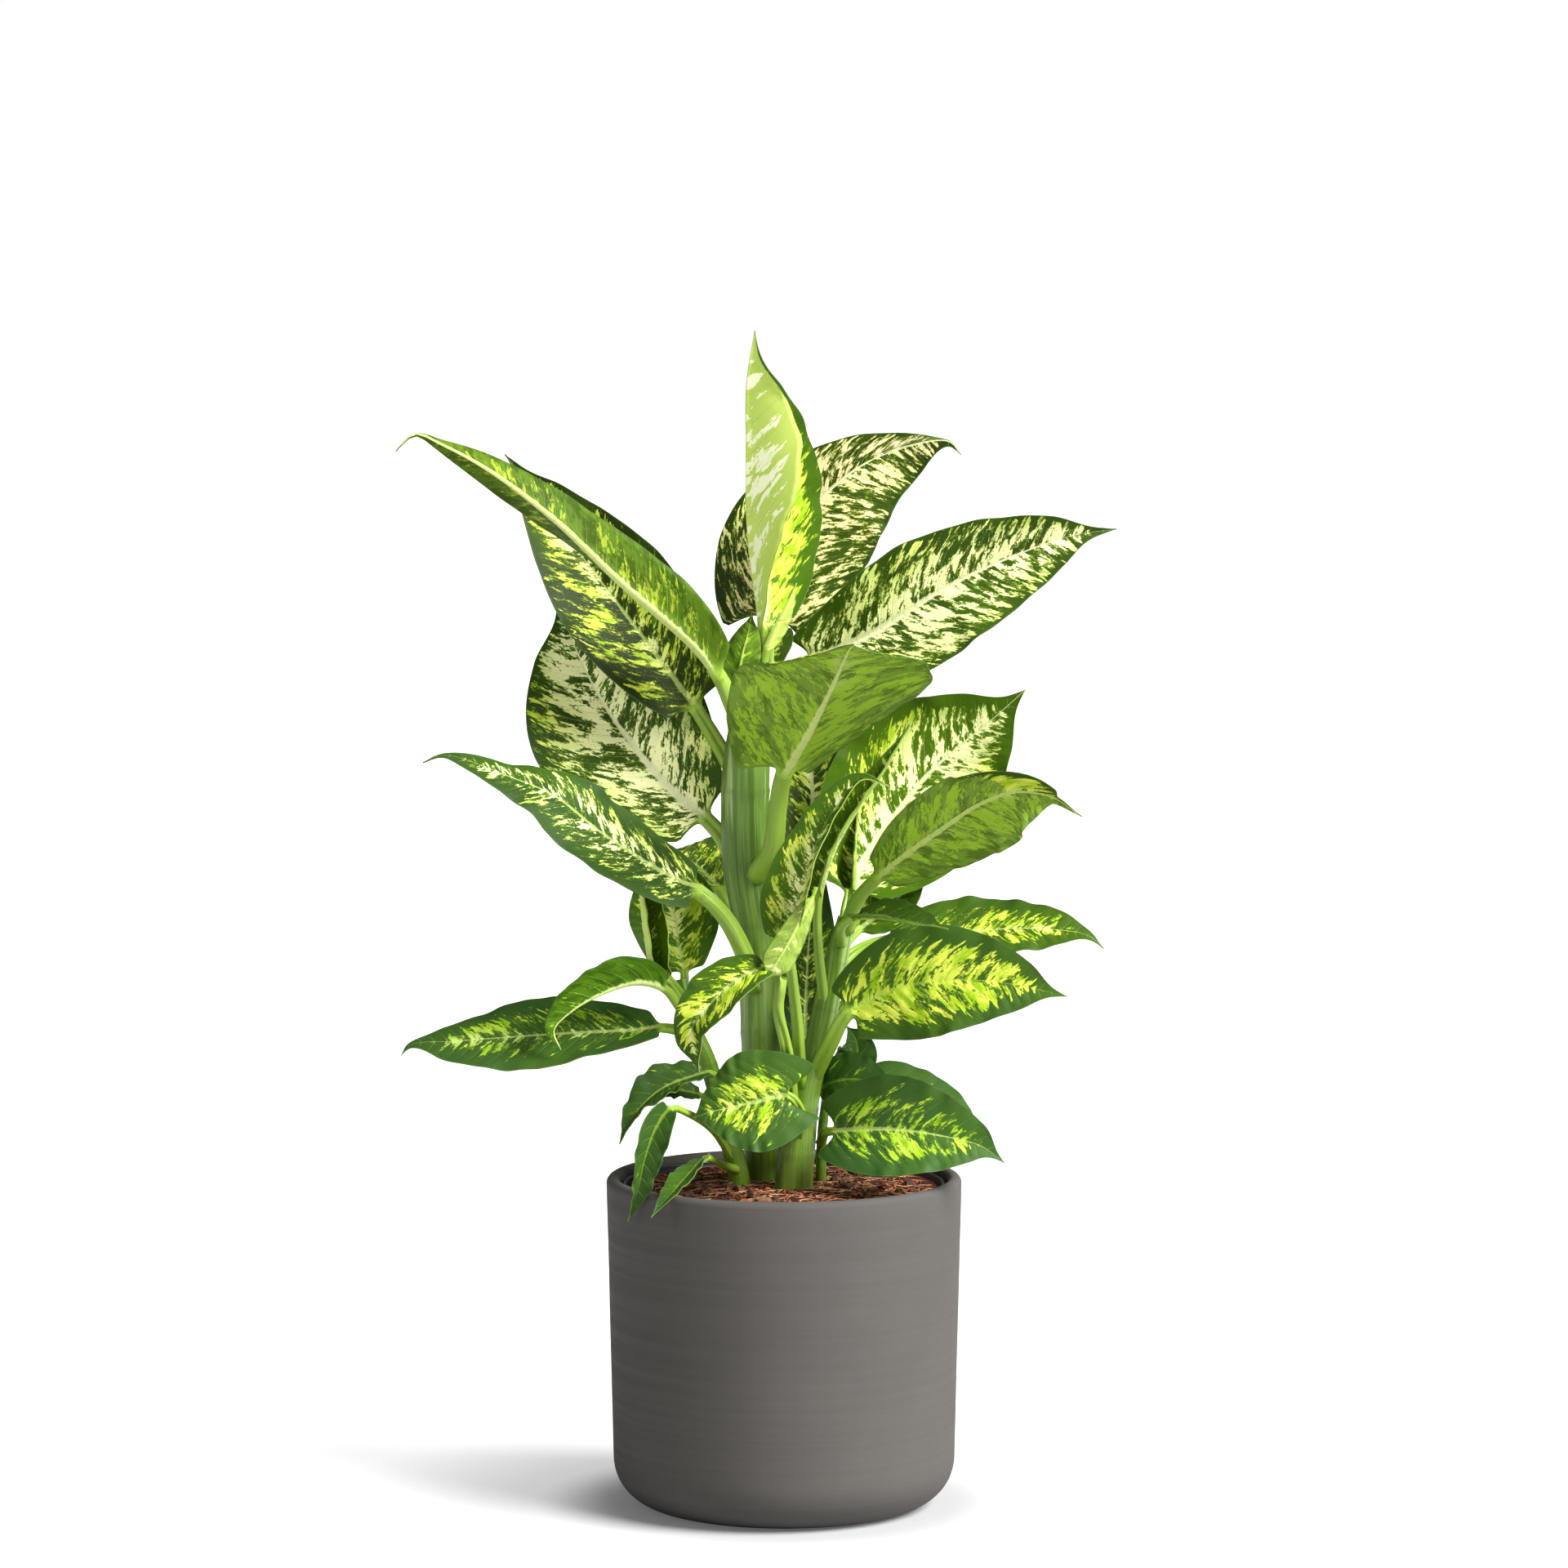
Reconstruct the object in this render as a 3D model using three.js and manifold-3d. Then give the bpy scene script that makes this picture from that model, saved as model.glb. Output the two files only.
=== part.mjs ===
// Potted dieffenbachia: a straight-sided stoneware planter, the black nursery
// pot that stands in it, the soil, the stems and every leaf as its own solid.
// Millimetres, +Z up. The origin is the centre of the planter's flat base, and
// the side of the plant that is seen first faces -Y.
import * as THREE from 'three';
import { mergeVertices } from 'three/addons/utils/BufferGeometryUtils.js';
import Module from 'manifold-3d';

const wasm = await Module();
wasm.setup();

// Planter
const POT_HEIGHT = 233;
const POT_TOP_RADIUS = 125;
const POT_LOW_RADIUS = 120.5;
const POT_BOTTOM_ROUND = 34;
const POT_WALL = 9.5;
const POT_FLOOR = 12;
const POT_INNER_ROUND = 24;
const POT_SIDES = 48;

// Nursery pot inside the planter
const LINER_TOP = 228;
const LINER_FOOT_RADIUS = 80;
const LINER_NECK_RADIUS = 109;
const LINER_LIP_RADIUS = 113.5;
const LINER_LIP_HEIGHT = 8;
const LINER_WALL = 1.3;
const LINER_SIDES = 40;

// Soil
const SOIL_EDGE_BELOW_LIP = 3;
const SOIL_CROWN = 3;
const SOIL_EDGE_FLARE = 1.2;
const SOIL_RINGS = [[0.75, 0.5], [0.4, 1], [0, 0.8]];

// Clearance kept between solids that rest on or run through each other
const GAP = 0.3;

// Leaf blades
const BLADE_THICKNESS = 0.9;
const RIB_SHARE = 0.75;
const RIB_LEAST = 0.4;
const TIP_HALF_WIDTH = 0.7;
const PETIOLE_FADE = 8;
const LOBE_POWER = 1.5;
const WAVE_LEAN = 0.3;
const LARGE_BLADE = 80;
const LARGE_ROWS = [0, 0.04, 0.12, 0.25, 0.4, 0.55, 0.7, 0.84, 0.94, 1];
const SMALL_ROWS = [0, 0.05, 0.15, 0.32, 0.5, 0.68, 0.84, 0.94, 1];
const LARGE_COLUMNS = 6;
const SMALL_COLUMNS = 4;
const LOBE_CREST = 0.06;
const LOBE_END = 0.42;
const BASE_FULLNESS = 0.7;
const TIP_ONSET = 1.8;
const TIP_TAPER = 1.2;
const PETIOLE_ROWS = 3;
const PETIOLE_FLARE = 0.25;

// Stems: points along the middle, and the radius at each point
const STEMS = {
  stem_main: {
    points: [[-14, 20, 200], [-14, 20, 233], [-15, 15, 300], [-17, 9, 388], [-26, 6, 451],
      [-27, 4, 515], [-22, 2, 567], [-15, 1, 606]],
    radii: [15, 15, 15.5, 16, 17.5, 17.5, 13, 7],
  },
  stem_left: {
    points: [[-30, -6, 205], [-32, -5, 233], [-40, -8, 263], [-54, -8, 315], [-66, -6, 343],
      [-72, -3, 372]],
    radii: [8, 8, 7, 6.5, 6, 4.5],
  },
  stem_right: {
    points: [[7, -18, 205], [7, -18, 231], [14, -18, 290], [25, -14, 333], [35, -10, 378],
      [44, -8, 416]],
    radii: [14, 14, 11, 9.5, 9, 6.5],
  },
  stem_side: {
    points: [[26, 10, 205], [26, 9, 236], [27, 9, 263], [30, 10, 290]],
    radii: [4, 4, 3.6, 3.2],
  },
};
const STEM_SIDES = 14;
const STEM_STEPS = 12;

// Chords that a curve's length is measured with, and how near points are one
const CURVE_STEPS = 200;
const SAME_POINT = 1e-4;

// Leaves. spine runs from inside the stem along the petiole, and from point
// number blade on along the midrib to the tip. width is the blade's full width
// measured over its curl, and peak is how far up the blade it is widest. face
// is the way that the upper side looks at the blade's base and tip. left and
// right are the two halves, seen from above with the tip up: fold at base and
// tip, then curl at base and tip, in degrees towards the upper side. lobe is
// how far the base reaches back past the petiole. wave is the height of the
// margin's waves and their number.
const LEAVES = [
  // Tall shoot in the middle
  {
    name: 'leaf_new', stem: 'stem_main', petiole: 6, width: 116, peak: 0.48, blade: 1,
    spine: [[-15, 1, 592], [-13, 0, 612], [-15, 3, 632], [-21, 6, 672], [-24, 7, 704],
      [-25, 6, 750], [-25, 3, 788], [-20, 0, 825]],
    face: [[0.8, -0.6, 0.1], [0.85, -0.5, 0]],
    left: [10, 95, 50, 20], right: [5, 10, 60, 40], lobe: 0, wave: [1, 1],
  },
  {
    name: 'leaf_west_high', stem: 'stem_main', petiole: 5.5, width: 56, peak: 0.26, blade: 2,
    spine: [[-26, -4, 540], [-36, -18, 566], [-45, -24, 586], [-62, -32, 608], [-113, -48, 654],
      [-157, -56, 696], [-202, -60, 730], [-235, -62, 748], [-253, -62, 755], [-266, -60, 743]],
    face: [[0.45, 0.6, 0.6], [0.1, 1, 0.05]],
    left: [35, 64, 5, 15], right: [62, 0, 15, 10], lobe: 6, wave: [2, 2],
  },
  {
    name: 'leaf_west_back', stem: 'stem_main', petiole: 5, width: 94, peak: 0.4, blade: 2,
    spine: [[-30, 12, 505], [-42, 16, 528], [-61, 20, 559], [-93, 28, 602], [-126, 38, 645],
      [-163, 46, 694], [-189, 50, 729], [-197, 52, 738]],
    face: [[0.1, -1, 0.25], [-0.1, -0.9, 0.5]],
    left: [15, 20, 10, 15], right: [15, 25, 10, 15], lobe: 8, wave: [2, 2],
  },
  {
    name: 'leaf_east_back', stem: 'stem_main', petiole: 5, width: 112, peak: 0.36, blade: 2,
    spine: [[-18, 6, 575], [-14, 18, 600], [-13, 24, 622], [-6, 32, 652], [18, 42, 698],
      [54, 46, 730], [89, 42, 744], [116, 34, 747], [124, 30, 738]],
    face: [[-0.2, -1, 0.1], [-0.2, -0.9, 0.4]],
    left: [0, -66, 5, 5], right: [0, -10, 5, 5], lobe: 22, wave: [2, 2],
  },
  {
    name: 'leaf_east_high', stem: 'stem_main', petiole: 5.5, width: 92, peak: 0.4, blade: 2,
    spine: [[-22, 6, 540], [-3, 8, 570], [17, 4, 592], [65, -4, 617], [114, -10, 648],
      [159, -12, 669], [199, -12, 683], [232, -10, 688]],
    face: [[-0.2, -0.85, 0.4], [-0.2, -0.85, 0.45]],
    left: [46, 50, 5, 10], right: [-10, -10, 5, 5], lobe: 16, wave: [2, 2],
  },
  {
    name: 'leaf_front', stem: 'stem_main', petiole: 6, width: 138, peak: 0.45, blade: 3,
    spine: [[-20, -6, 445], [-8, -24, 466], [-4, -34, 498], [0, -46, 520], [17, -75, 553],
      [34, -105, 589], [43, -145, 612], [46, -205, 620]],
    face: [[0.1, 0.8, 0.5], [0, 0.3, 1]],
    left: [48, -30, 5, 0], right: [0, -18, 0, 0], lobe: 24, wave: [4, 2],
  },
  {
    name: 'leaf_west_broad', stem: 'stem_main', petiole: 5.5, width: 130, peak: 0.5, blade: 2,
    spine: [[-32, 8, 443], [-42, 14, 468], [-54, 18, 482], [-80, 28, 503], [-105, 38, 531],
      [-128, 46, 563], [-147, 50, 600], [-160, 46, 636]],
    face: [[0, -1, 0.25], [0, -1, 0.15]],
    left: [10, 10, 10, 10], right: [10, 10, 10, 10], lobe: 8, wave: [2, 2],
  },
  {
    name: 'leaf_west_low', stem: 'stem_main', petiole: 5.5, width: 70, peak: 0.32, blade: 3,
    spine: [[-20, -2, 366], [-30, -22, 397], [-42, -34, 420], [-58, -42, 437], [-90, -50, 456],
      [-127, -56, 481], [-158, -60, 506], [-191, -60, 520], [-234, -58, 534], [-249, -58, 529]],
    face: [[0, -0.62, 0.78], [0, -0.62, 0.78]],
    left: [0, 5, 0, 5], right: [0, -22, 0, 5], lobe: 8, wave: [3, 2],
  },
  // Left shoot
  {
    name: 'leaf_left_rolled', stem: 'stem_left', petiole: 3.5, width: 44, peak: 0.45, blade: 1,
    spine: [[-71, -5, 358], [-80, -13, 372], [-91, -18, 384], [-96, -20, 408], [-100, -18, 437],
      [-105, -14, 462]],
    face: [[0.5, -0.85, 0], [0.5, -0.85, 0]],
    left: [30, 40, 70, 60], right: [40, 40, 70, 60], lobe: 0, wave: [0, 1],
  },
  {
    name: 'leaf_left_behind', stem: 'stem_left', petiole: 3, width: 66, peak: 0.45, blade: 1,
    spine: [[-71, 0, 362], [-70, 12, 374], [-74, 18, 392], [-77, 24, 412], [-83, 28, 438],
      [-92, 30, 467]],
    face: [[0, -1, 0.1], [0, -1, 0.1]],
    left: [10, 10, 10, 10], right: [10, 10, 10, 10], lobe: 4, wave: [2, 2],
  },
  {
    name: 'leaf_left_arching', stem: 'stem_left', petiole: 3.2, width: 44, peak: 0.4, blade: 2,
    spine: [[-64, -9, 340], [-74, -20, 356], [-83, -27, 368], [-102, -36, 374],
      [-125, -43, 368], [-147, -48, 356], [-160, -50, 342], [-155, -50, 328]],
    face: [[-0.2, 0.5, 0.8], [-0.7, 0.4, 0.3]],
    left: [25, 30, 10, 10], right: [25, 30, 10, 10], lobe: 3, wave: [1, 2],
  },
  {
    name: 'leaf_left_long', stem: 'stem_left', petiole: 3.5, width: 68, peak: 0.45, blade: 1,
    spine: [[-62, -6, 333], [-83, -8, 338], [-109, -14, 337], [-148, -20, 336], [-188, -24, 334],
      [-228, -24, 331], [-261, -22, 328], [-268, -20, 320]],
    face: [[0, -0.7, 0.7], [0, -0.85, 0.5]],
    left: [30, 0, 5, 5], right: [0, -30, 5, 5], lobe: 4, wave: [2, 2],
  },
  // Front shoot
  {
    name: 'leaf_centre_folded', stem: 'stem_right', petiole: 3.6, width: 50, peak: 0.24, blade: 3,
    spine: [[12, -24, 299], [9, -42, 348], [5, -56, 384], [3, -62, 402], [10, -74, 437],
      [21, -84, 472], [36, -90, 502], [54, -94, 521], [72, -96, 516]],
    face: [[-0.35, -0.85, 0.3], [-0.3, -0.7, 0.5]],
    left: [20, 30, 15, 10], right: [40, 40, 20, 10], lobe: 4, wave: [2, 2],
  },
  {
    name: 'leaf_spear', stem: 'stem_right', petiole: 3, width: 30, peak: 0.35, blade: 2,
    spine: [[29, -14, 351], [24, -28, 397], [24, -36, 432], [34, -42, 467], [50, -50, 496],
      [68, -54, 522], [87, -56, 556]],
    face: [[-0.5, -0.7, 0.3], [-0.6, -0.7, 0.3]],
    left: [40, 40, 30, 30], right: [40, 40, 30, 30], lobe: 0, wave: [0, 1],
  },
  {
    name: 'leaf_centre_drooping', stem: 'stem_right', petiole: 3.6, width: 46, peak: 0.4, blade: 4,
    spine: [[7, -22, 274], [3, -44, 322], [-4, -60, 358], [-2, -74, 384], [-10, -84, 390],
      [-31, -94, 383], [-49, -100, 368], [-63, -102, 349], [-58, -100, 319]],
    face: [[-0.2, -0.6, 0.8], [-0.6, -0.7, 0.3]],
    left: [10, 10, 10, 10], right: [10, 10, 10, 10], lobe: 3, wave: [1, 2],
  },
  // Right shoot
  {
    name: 'leaf_right_back', stem: 'stem_right', petiole: 4, width: 122, peak: 0.45, blade: 1,
    spine: [[42, 0, 404], [46, 14, 428], [56, 24, 452], [80, 32, 486], [104, 36, 515],
      [130, 34, 538], [152, 28, 557], [170, 22, 574]],
    face: [[0, -1, 0.15], [0, -1, 0.15]],
    left: [10, 10, 5, 5], right: [10, 10, 5, 5], lobe: 8, wave: [2, 2],
  },
  {
    name: 'leaf_right_under', stem: 'stem_right', petiole: 4.5, width: 70, peak: 0.6, blade: 2,
    spine: [[44, -12, 408], [50, -24, 428], [64, -34, 446], [84, -48, 464], [107, -64, 482],
      [134, -82, 502], [159, -96, 512], [184, -92, 508], [204, -84, 494]],
    face: [[0.1, 0.95, 0.1], [0.3, 0.9, 0.2]],
    left: [0, -10, 5, 5], right: [0, -66, 5, 0], lobe: 4, wave: [4, 2],
  },
  {
    name: 'leaf_right_rolled', stem: 'stem_right', petiole: 3, width: 34, peak: 0.4, blade: 1,
    spine: [[45, -6, 412], [48, -6, 434], [49, -12, 463], [51, -14, 492]],
    face: [[-0.4, -0.9, 0], [-0.4, -0.9, 0]],
    left: [40, 40, 60, 50], right: [40, 40, 60, 50], lobe: 0, wave: [0, 1],
  },
  {
    name: 'leaf_right_far', stem: 'stem_right', petiole: 3.5, width: 64, peak: 0.4, blade: 2,
    spine: [[36, -4, 378], [52, 8, 391], [72, 12, 398], [103, 12, 402], [138, 8, 405],
      [172, 2, 407], [212, -4, 403], [224, -6, 394]],
    face: [[0, -0.6, 0.8], [0, -0.6, 0.8]],
    left: [0, 5, 5, 5], right: [0, 5, 5, 5], lobe: 4, wave: [2, 2],
  },
  {
    name: 'leaf_right_bright', stem: 'stem_right', petiole: 5, width: 80, peak: 0.4, blade: 2,
    spine: [[20, -17, 304], [32, -34, 330], [44, -46, 353], [68, -54, 368], [96, -64, 377],
      [129, -74, 380], [163, -82, 377], [195, -86, 370]],
    face: [[0, -0.95, 0.3], [0, -0.95, 0.3]],
    left: [0, 5, 5, 5], right: [0, 5, 5, 5], lobe: 12, wave: [2, 2],
  },
  {
    name: 'leaf_right_small', stem: 'stem_right', petiole: 3, width: 36, peak: 0.45, blade: 2,
    spine: [[40, -14, 398], [40, -32, 412], [48, -46, 420], [65, -62, 423], [84, -76, 421],
      [101, -84, 419], [113, -88, 417]],
    face: [[0, -0.3, 0.95], [0, -0.3, 0.95]],
    left: [20, 20, 10, 10], right: [20, 20, 10, 10], lobe: 2, wave: [1, 2],
  },
  {
    name: 'leaf_right_inner', stem: 'stem_main', petiole: 4, width: 56, peak: 0.45, blade: 1,
    spine: [[-6, 10, 415], [14, 26, 440], [20, 40, 483], [19, 50, 517], [16, 54, 548],
      [14, 52, 578]],
    face: [[0.1, -1, 0], [0.1, -1, 0]],
    left: [10, 10, 10, 10], right: [10, 10, 10, 10], lobe: 4, wave: [2, 2],
  },
  {
    name: 'leaf_right_creased', stem: 'stem_right', petiole: 3, width: 44, peak: 0.4, blade: 1,
    spine: [[38, -8, 392], [52, 16, 404], [69, 26, 416], [86, 32, 430], [102, 36, 444]],
    face: [[0.3, -0.6, 0.7], [0.3, -0.6, 0.7]],
    left: [40, 40, 10, 10], right: [20, 20, 10, 10], lobe: 2, wave: [1, 2],
  },
  // Low leaves
  {
    name: 'leaf_low_heart', stem: 'stem_right', petiole: 3, width: 72, peak: 0.35, blade: 2,
    spine: [[10, -24, 262], [12, -46, 284], [3, -56, 297], [-17, -60, 294], [-35, -60, 290],
      [-51, -58, 286], [-64, -55, 281]],
    face: [[-0.1, -1, 0.15], [-0.1, -0.95, 0.3]],
    left: [5, 5, 5, 5], right: [5, 5, 5, 5], lobe: 26, wave: [1, 2],
  },
  {
    name: 'leaf_low_right', stem: 'stem_side', petiole: 3, width: 76, peak: 0.35, blade: 2,
    spine: [[26, 6, 255], [29, -20, 266], [34, -34, 269], [52, -45, 272], [79, -54, 273],
      [107, -60, 270], [136, -62, 263], [153, -62, 251]],
    face: [[0, -0.95, 0.3], [0, -0.95, 0.3]],
    left: [5, 5, 5, 5], right: [20, 15, 5, 5], lobe: 16, wave: [1, 2],
  },
  {
    name: 'leaf_low_right_back', stem: 'stem_side', petiole: 2.4, width: 40, peak: 0.4, blade: 1,
    spine: [[29, 10, 275], [38, 10, 287], [54, 10, 293], [77, 10, 295], [103, 8, 288],
      [126, 4, 275], [141, 2, 262]],
    face: [[0, -0.6, 0.8], [0, -0.6, 0.8]],
    left: [10, 10, 5, 5], right: [10, 10, 5, 5], lobe: 4, wave: [1, 2],
  },
  {
    name: 'leaf_low_small', stem: 'stem_side', petiole: 2.2, width: 40, peak: 0.4, blade: 1,
    spine: [[30, 8, 284], [27, -6, 295], [36, -12, 301], [51, -17, 303], [66, -20, 301],
      [77, -22, 297]],
    face: [[0, -0.8, 0.6], [0, -0.8, 0.6]],
    left: [10, 10, 10, 10], right: [10, 10, 10, 10], lobe: 4, wave: [1, 1],
  },
  {
    name: 'leaf_low_upright', stem: 'stem_side', petiole: 2.2, width: 30, peak: 0.4, blade: 1,
    spine: [[30, 10, 286], [38, 18, 303], [51, 22, 313], [51, 23, 325], [44, 22, 336]],
    face: [[0, -1, 0.3], [0, -1, 0.3]],
    left: [10, 10, 10, 10], right: [10, 10, 10, 10], lobe: 2, wave: [1, 1],
  },
  {
    name: 'leaf_rim_drooping', stem: 'stem_left', petiole: 2.4, width: 28, peak: 0.35, blade: 3,
    spine: [[-36, -8, 245], [-50, -32, 270], [-67, -50, 284], [-78, -62, 289], [-88, -76, 278],
      [-96, -84, 257], [-101, -84, 234], [-108, -80, 212]],
    face: [[0.2, -0.8, 0.6], [0.6, -0.8, 0.2]],
    left: [30, 30, 20, 20], right: [30, 30, 20, 20], lobe: 2, wave: [1, 2],
  },
  {
    name: 'leaf_rim_twisted', stem: 'stem_left', petiole: 2.6, width: 34, peak: 0.4, blade: 2,
    spine: [[-42, -8, 273], [-43, -22, 300], [-51, -30, 309], [-67, -40, 307], [-86, -50, 300],
      [-103, -60, 285], [-114, -66, 265]],
    face: [[0, -0.5, 0.85], [-0.5, -0.7, 0.5]],
    left: [15, 25, 20, 20], right: [15, 25, 20, 20], lobe: 3, wave: [2, 2],
  },
  {
    name: 'leaf_rim_small', stem: 'stem_left', petiole: 2.2, width: 24, peak: 0.45, blade: 1,
    spine: [[-46, -8, 284], [-58, -12, 291], [-72, -17, 295], [-86, -23, 297], [-100, -30, 294],
      [-111, -34, 281]],
    face: [[0, -0.6, 0.8], [-0.4, -0.6, 0.6]],
    left: [10, 10, 10, 10], right: [10, 10, 10, 10], lobe: 2, wave: [1, 2],
  },
  {
    name: 'leaf_rim_front', stem: 'stem_left', petiole: 2.4, width: 22, peak: 0.45, blade: 2,
    spine: [[-33, -10, 238], [-42, -40, 246], [-54, -66, 255], [-63, -90, 250], [-77, -110, 237],
      [-91, -124, 223]],
    face: [[-0.5, -0.5, 0.7], [-0.5, -0.7, 0.5]],
    left: [15, 15, 10, 10], right: [15, 15, 10, 10], lobe: 2, wave: [0.5, 2],
  },
  // Far side
  {
    name: 'leaf_far_high', stem: 'stem_main', petiole: 5, width: 90, peak: 0.4, blade: 2,
    spine: [[-22, 6, 520], [-24, 34, 548], [-28, 60, 572], [-34, 100, 592], [-40, 145, 596],
      [-44, 190, 580], [-46, 214, 562]],
    face: [[0, -0.5, 0.87], [0, 0.4, 0.9]],
    left: [10, 10, 10, 10], right: [10, 10, 10, 10], lobe: 8, wave: [2, 2],
  },
  {
    name: 'leaf_far_left', stem: 'stem_main', petiole: 5, width: 84, peak: 0.4, blade: 2,
    spine: [[-20, 12, 372], [-32, 38, 404], [-44, 62, 426], [-66, 98, 444], [-88, 134, 446],
      [-106, 166, 430], [-112, 180, 416]],
    face: [[0.3, -0.5, 0.8], [-0.2, 0.4, 0.9]],
    left: [10, 10, 10, 10], right: [10, 10, 10, 10], lobe: 8, wave: [2, 2],
  },
  {
    name: 'leaf_far_right', stem: 'stem_main', petiole: 5, width: 84, peak: 0.4, blade: 2,
    spine: [[-10, 16, 400], [8, 44, 432], [22, 66, 450], [42, 104, 466], [62, 142, 466],
      [78, 176, 450], [84, 192, 434]],
    face: [[-0.3, -0.5, 0.8], [0.2, 0.4, 0.9]],
    left: [10, 10, 10, 10], right: [10, 10, 10, 10], lobe: 8, wave: [2, 2],
  },
  {
    name: 'leaf_far_low', stem: 'stem_right', petiole: 4, width: 74, peak: 0.4, blade: 2,
    spine: [[20, -12, 318], [36, 22, 340], [48, 44, 354], [68, 78, 366], [90, 108, 366],
      [112, 136, 352], [122, 148, 338]],
    face: [[-0.3, -0.4, 0.8], [0.3, 0.3, 0.9]],
    left: [10, 10, 10, 10], right: [10, 10, 10, 10], lobe: 6, wave: [2, 2],
  },
];

const COLOURS = {
  planter: { color: 0x67635f, roughness: 0.85 },
  liner: { color: 0x161616, roughness: 0.45 },
  soil: { color: 0x4a3120, roughness: 1 },
  stem: { color: 0x7fa04a, roughness: 0.45 },
  leaf: { color: 0x4f7f2c, roughness: 0.42 },
};

function material(slot) {
  return new THREE.MeshStandardMaterial({ ...COLOURS[slot], metalness: 0 });
}

// Any closed three.js geometry as a solid that can be cut
function solidOf(geometry) {
  const bare = geometry.clone();
  bare.deleteAttribute('normal');
  bare.deleteAttribute('uv');
  const merged = mergeVertices(bare, SAME_POINT);
  return new wasm.Manifold(new wasm.Mesh({
    numProp: 3,
    vertProperties: new Float32Array(merged.attributes.position.array),
    triVerts: new Uint32Array(merged.index.array),
  }));
}

function geometryOf(solid) {
  const mesh = solid.getMesh();
  const geometry = new THREE.BufferGeometry();
  geometry.setAttribute('position', new THREE.BufferAttribute(mesh.vertProperties, 3));
  geometry.setIndex(new THREE.BufferAttribute(mesh.triVerts, 1));
  geometry.computeVertexNormals();
  return geometry;
}

// What a cut leaves, without the scraps on its far side
function largestPiece(solid) {
  const pieces = solid.decompose();
  return pieces.reduce((best, piece) => (piece.volume() > best.volume() ? piece : best));
}

// A closed skin over rings of points. Both faces of a blade are split along
// the same diagonal: the rings' points before `turn` are the upper face.
function loft(rings, turn) {
  const count = rings[0].length;
  const positions = rings.flat().flatMap((point) => point.toArray());
  const index = [];
  for (let row = 0; row < rings.length - 1; row += 1) {
    for (let k = 0; k < count; k += 1) {
      const a = row * count + k;
      const b = row * count + (k + 1) % count;
      const c = b + count;
      const d = a + count;
      index.push(...(k < turn ? [a, b, c, a, c, d] : [a, b, d, b, c, d]));
    }
  }
  for (const [row, flip] of [[0, true], [rings.length - 1, false]]) {
    const centre = positions.length / 3;
    const middle = new THREE.Vector3();
    rings[row].forEach((point) => middle.addScaledVector(point, 1 / count));
    positions.push(...middle.toArray());
    for (let k = 0; k < count; k += 1) {
      const a = row * count + k;
      const b = row * count + (k + 1) % count;
      index.push(...(flip ? [b, a, centre] : [a, b, centre]));
    }
  }
  const geometry = new THREE.BufferGeometry();
  geometry.setAttribute('position', new THREE.Float32BufferAttribute(positions, 3));
  geometry.setIndex(index);
  return geometry;
}

function curveThrough(points) {
  const vectors = points.map((point) => new THREE.Vector3(...point));
  return new THREE.CatmullRomCurve3(vectors, false, 'centripetal');
}

function arc(centre, radius, from, to, steps) {
  const points = [];
  for (let step = 0; step <= steps; step += 1) {
    const angle = THREE.MathUtils.degToRad(from + (to - from) * step / steps);
    points.push(new THREE.Vector2(centre[0] + radius * Math.cos(angle),
      centre[1] + radius * Math.sin(angle)));
  }
  return points;
}

function turned(profile, sides) {
  const geometry = new THREE.LatheGeometry(profile, sides);
  geometry.rotateX(Math.PI / 2);
  return geometry;
}

function point2(x, y) {
  return new THREE.Vector2(x, y);
}

function planter() {
  const rim = POT_WALL / 2;
  const flat = POT_LOW_RADIUS - POT_BOTTOM_ROUND;
  const innerLow = POT_LOW_RADIUS - POT_WALL;
  const profile = [
    point2(0, 0),
    ...arc([flat, POT_BOTTOM_ROUND], POT_BOTTOM_ROUND, -90, 0, 6),
    ...arc([POT_TOP_RADIUS - rim, POT_HEIGHT - rim], rim, 0, 180, 6),
    ...arc([innerLow - POT_INNER_ROUND, POT_FLOOR + POT_INNER_ROUND], POT_INNER_ROUND, 0, -90, 4),
    point2(0, POT_FLOOR),
  ];
  return turned(profile, POT_SIDES);
}

function liner() {
  const foot = POT_FLOOR + GAP;
  const neck = LINER_TOP - LINER_LIP_HEIGHT;
  const profile = [
    point2(0, foot),
    point2(LINER_FOOT_RADIUS, foot),
    point2(LINER_NECK_RADIUS, neck),
    point2(LINER_LIP_RADIUS, neck),
    point2(LINER_LIP_RADIUS, LINER_TOP),
    point2(LINER_LIP_RADIUS - 2 * LINER_WALL, LINER_TOP),
    point2(LINER_NECK_RADIUS - LINER_WALL, neck - LINER_WALL),
    point2(LINER_FOOT_RADIUS - LINER_WALL, foot + LINER_WALL),
    point2(0, foot + LINER_WALL),
  ];
  return turned(profile, LINER_SIDES);
}

function soilBlock() {
  const foot = POT_FLOOR + GAP + LINER_WALL + GAP;
  const neck = LINER_TOP - LINER_LIP_HEIGHT - LINER_WALL;
  const edge = LINER_TOP - SOIL_EDGE_BELOW_LIP;
  const footRadius = LINER_FOOT_RADIUS - LINER_WALL - 2 * GAP;
  const neckRadius = LINER_NECK_RADIUS - LINER_WALL - 2 * GAP;
  const profile = [
    point2(0, foot),
    point2(footRadius, foot),
    point2(neckRadius, neck),
    point2(neckRadius + SOIL_EDGE_FLARE, edge),
    ...SOIL_RINGS.map(([out, high]) => point2(neckRadius * out, edge + SOIL_CROWN * high)),
  ];
  return turned(profile, LINER_SIDES);
}

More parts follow.
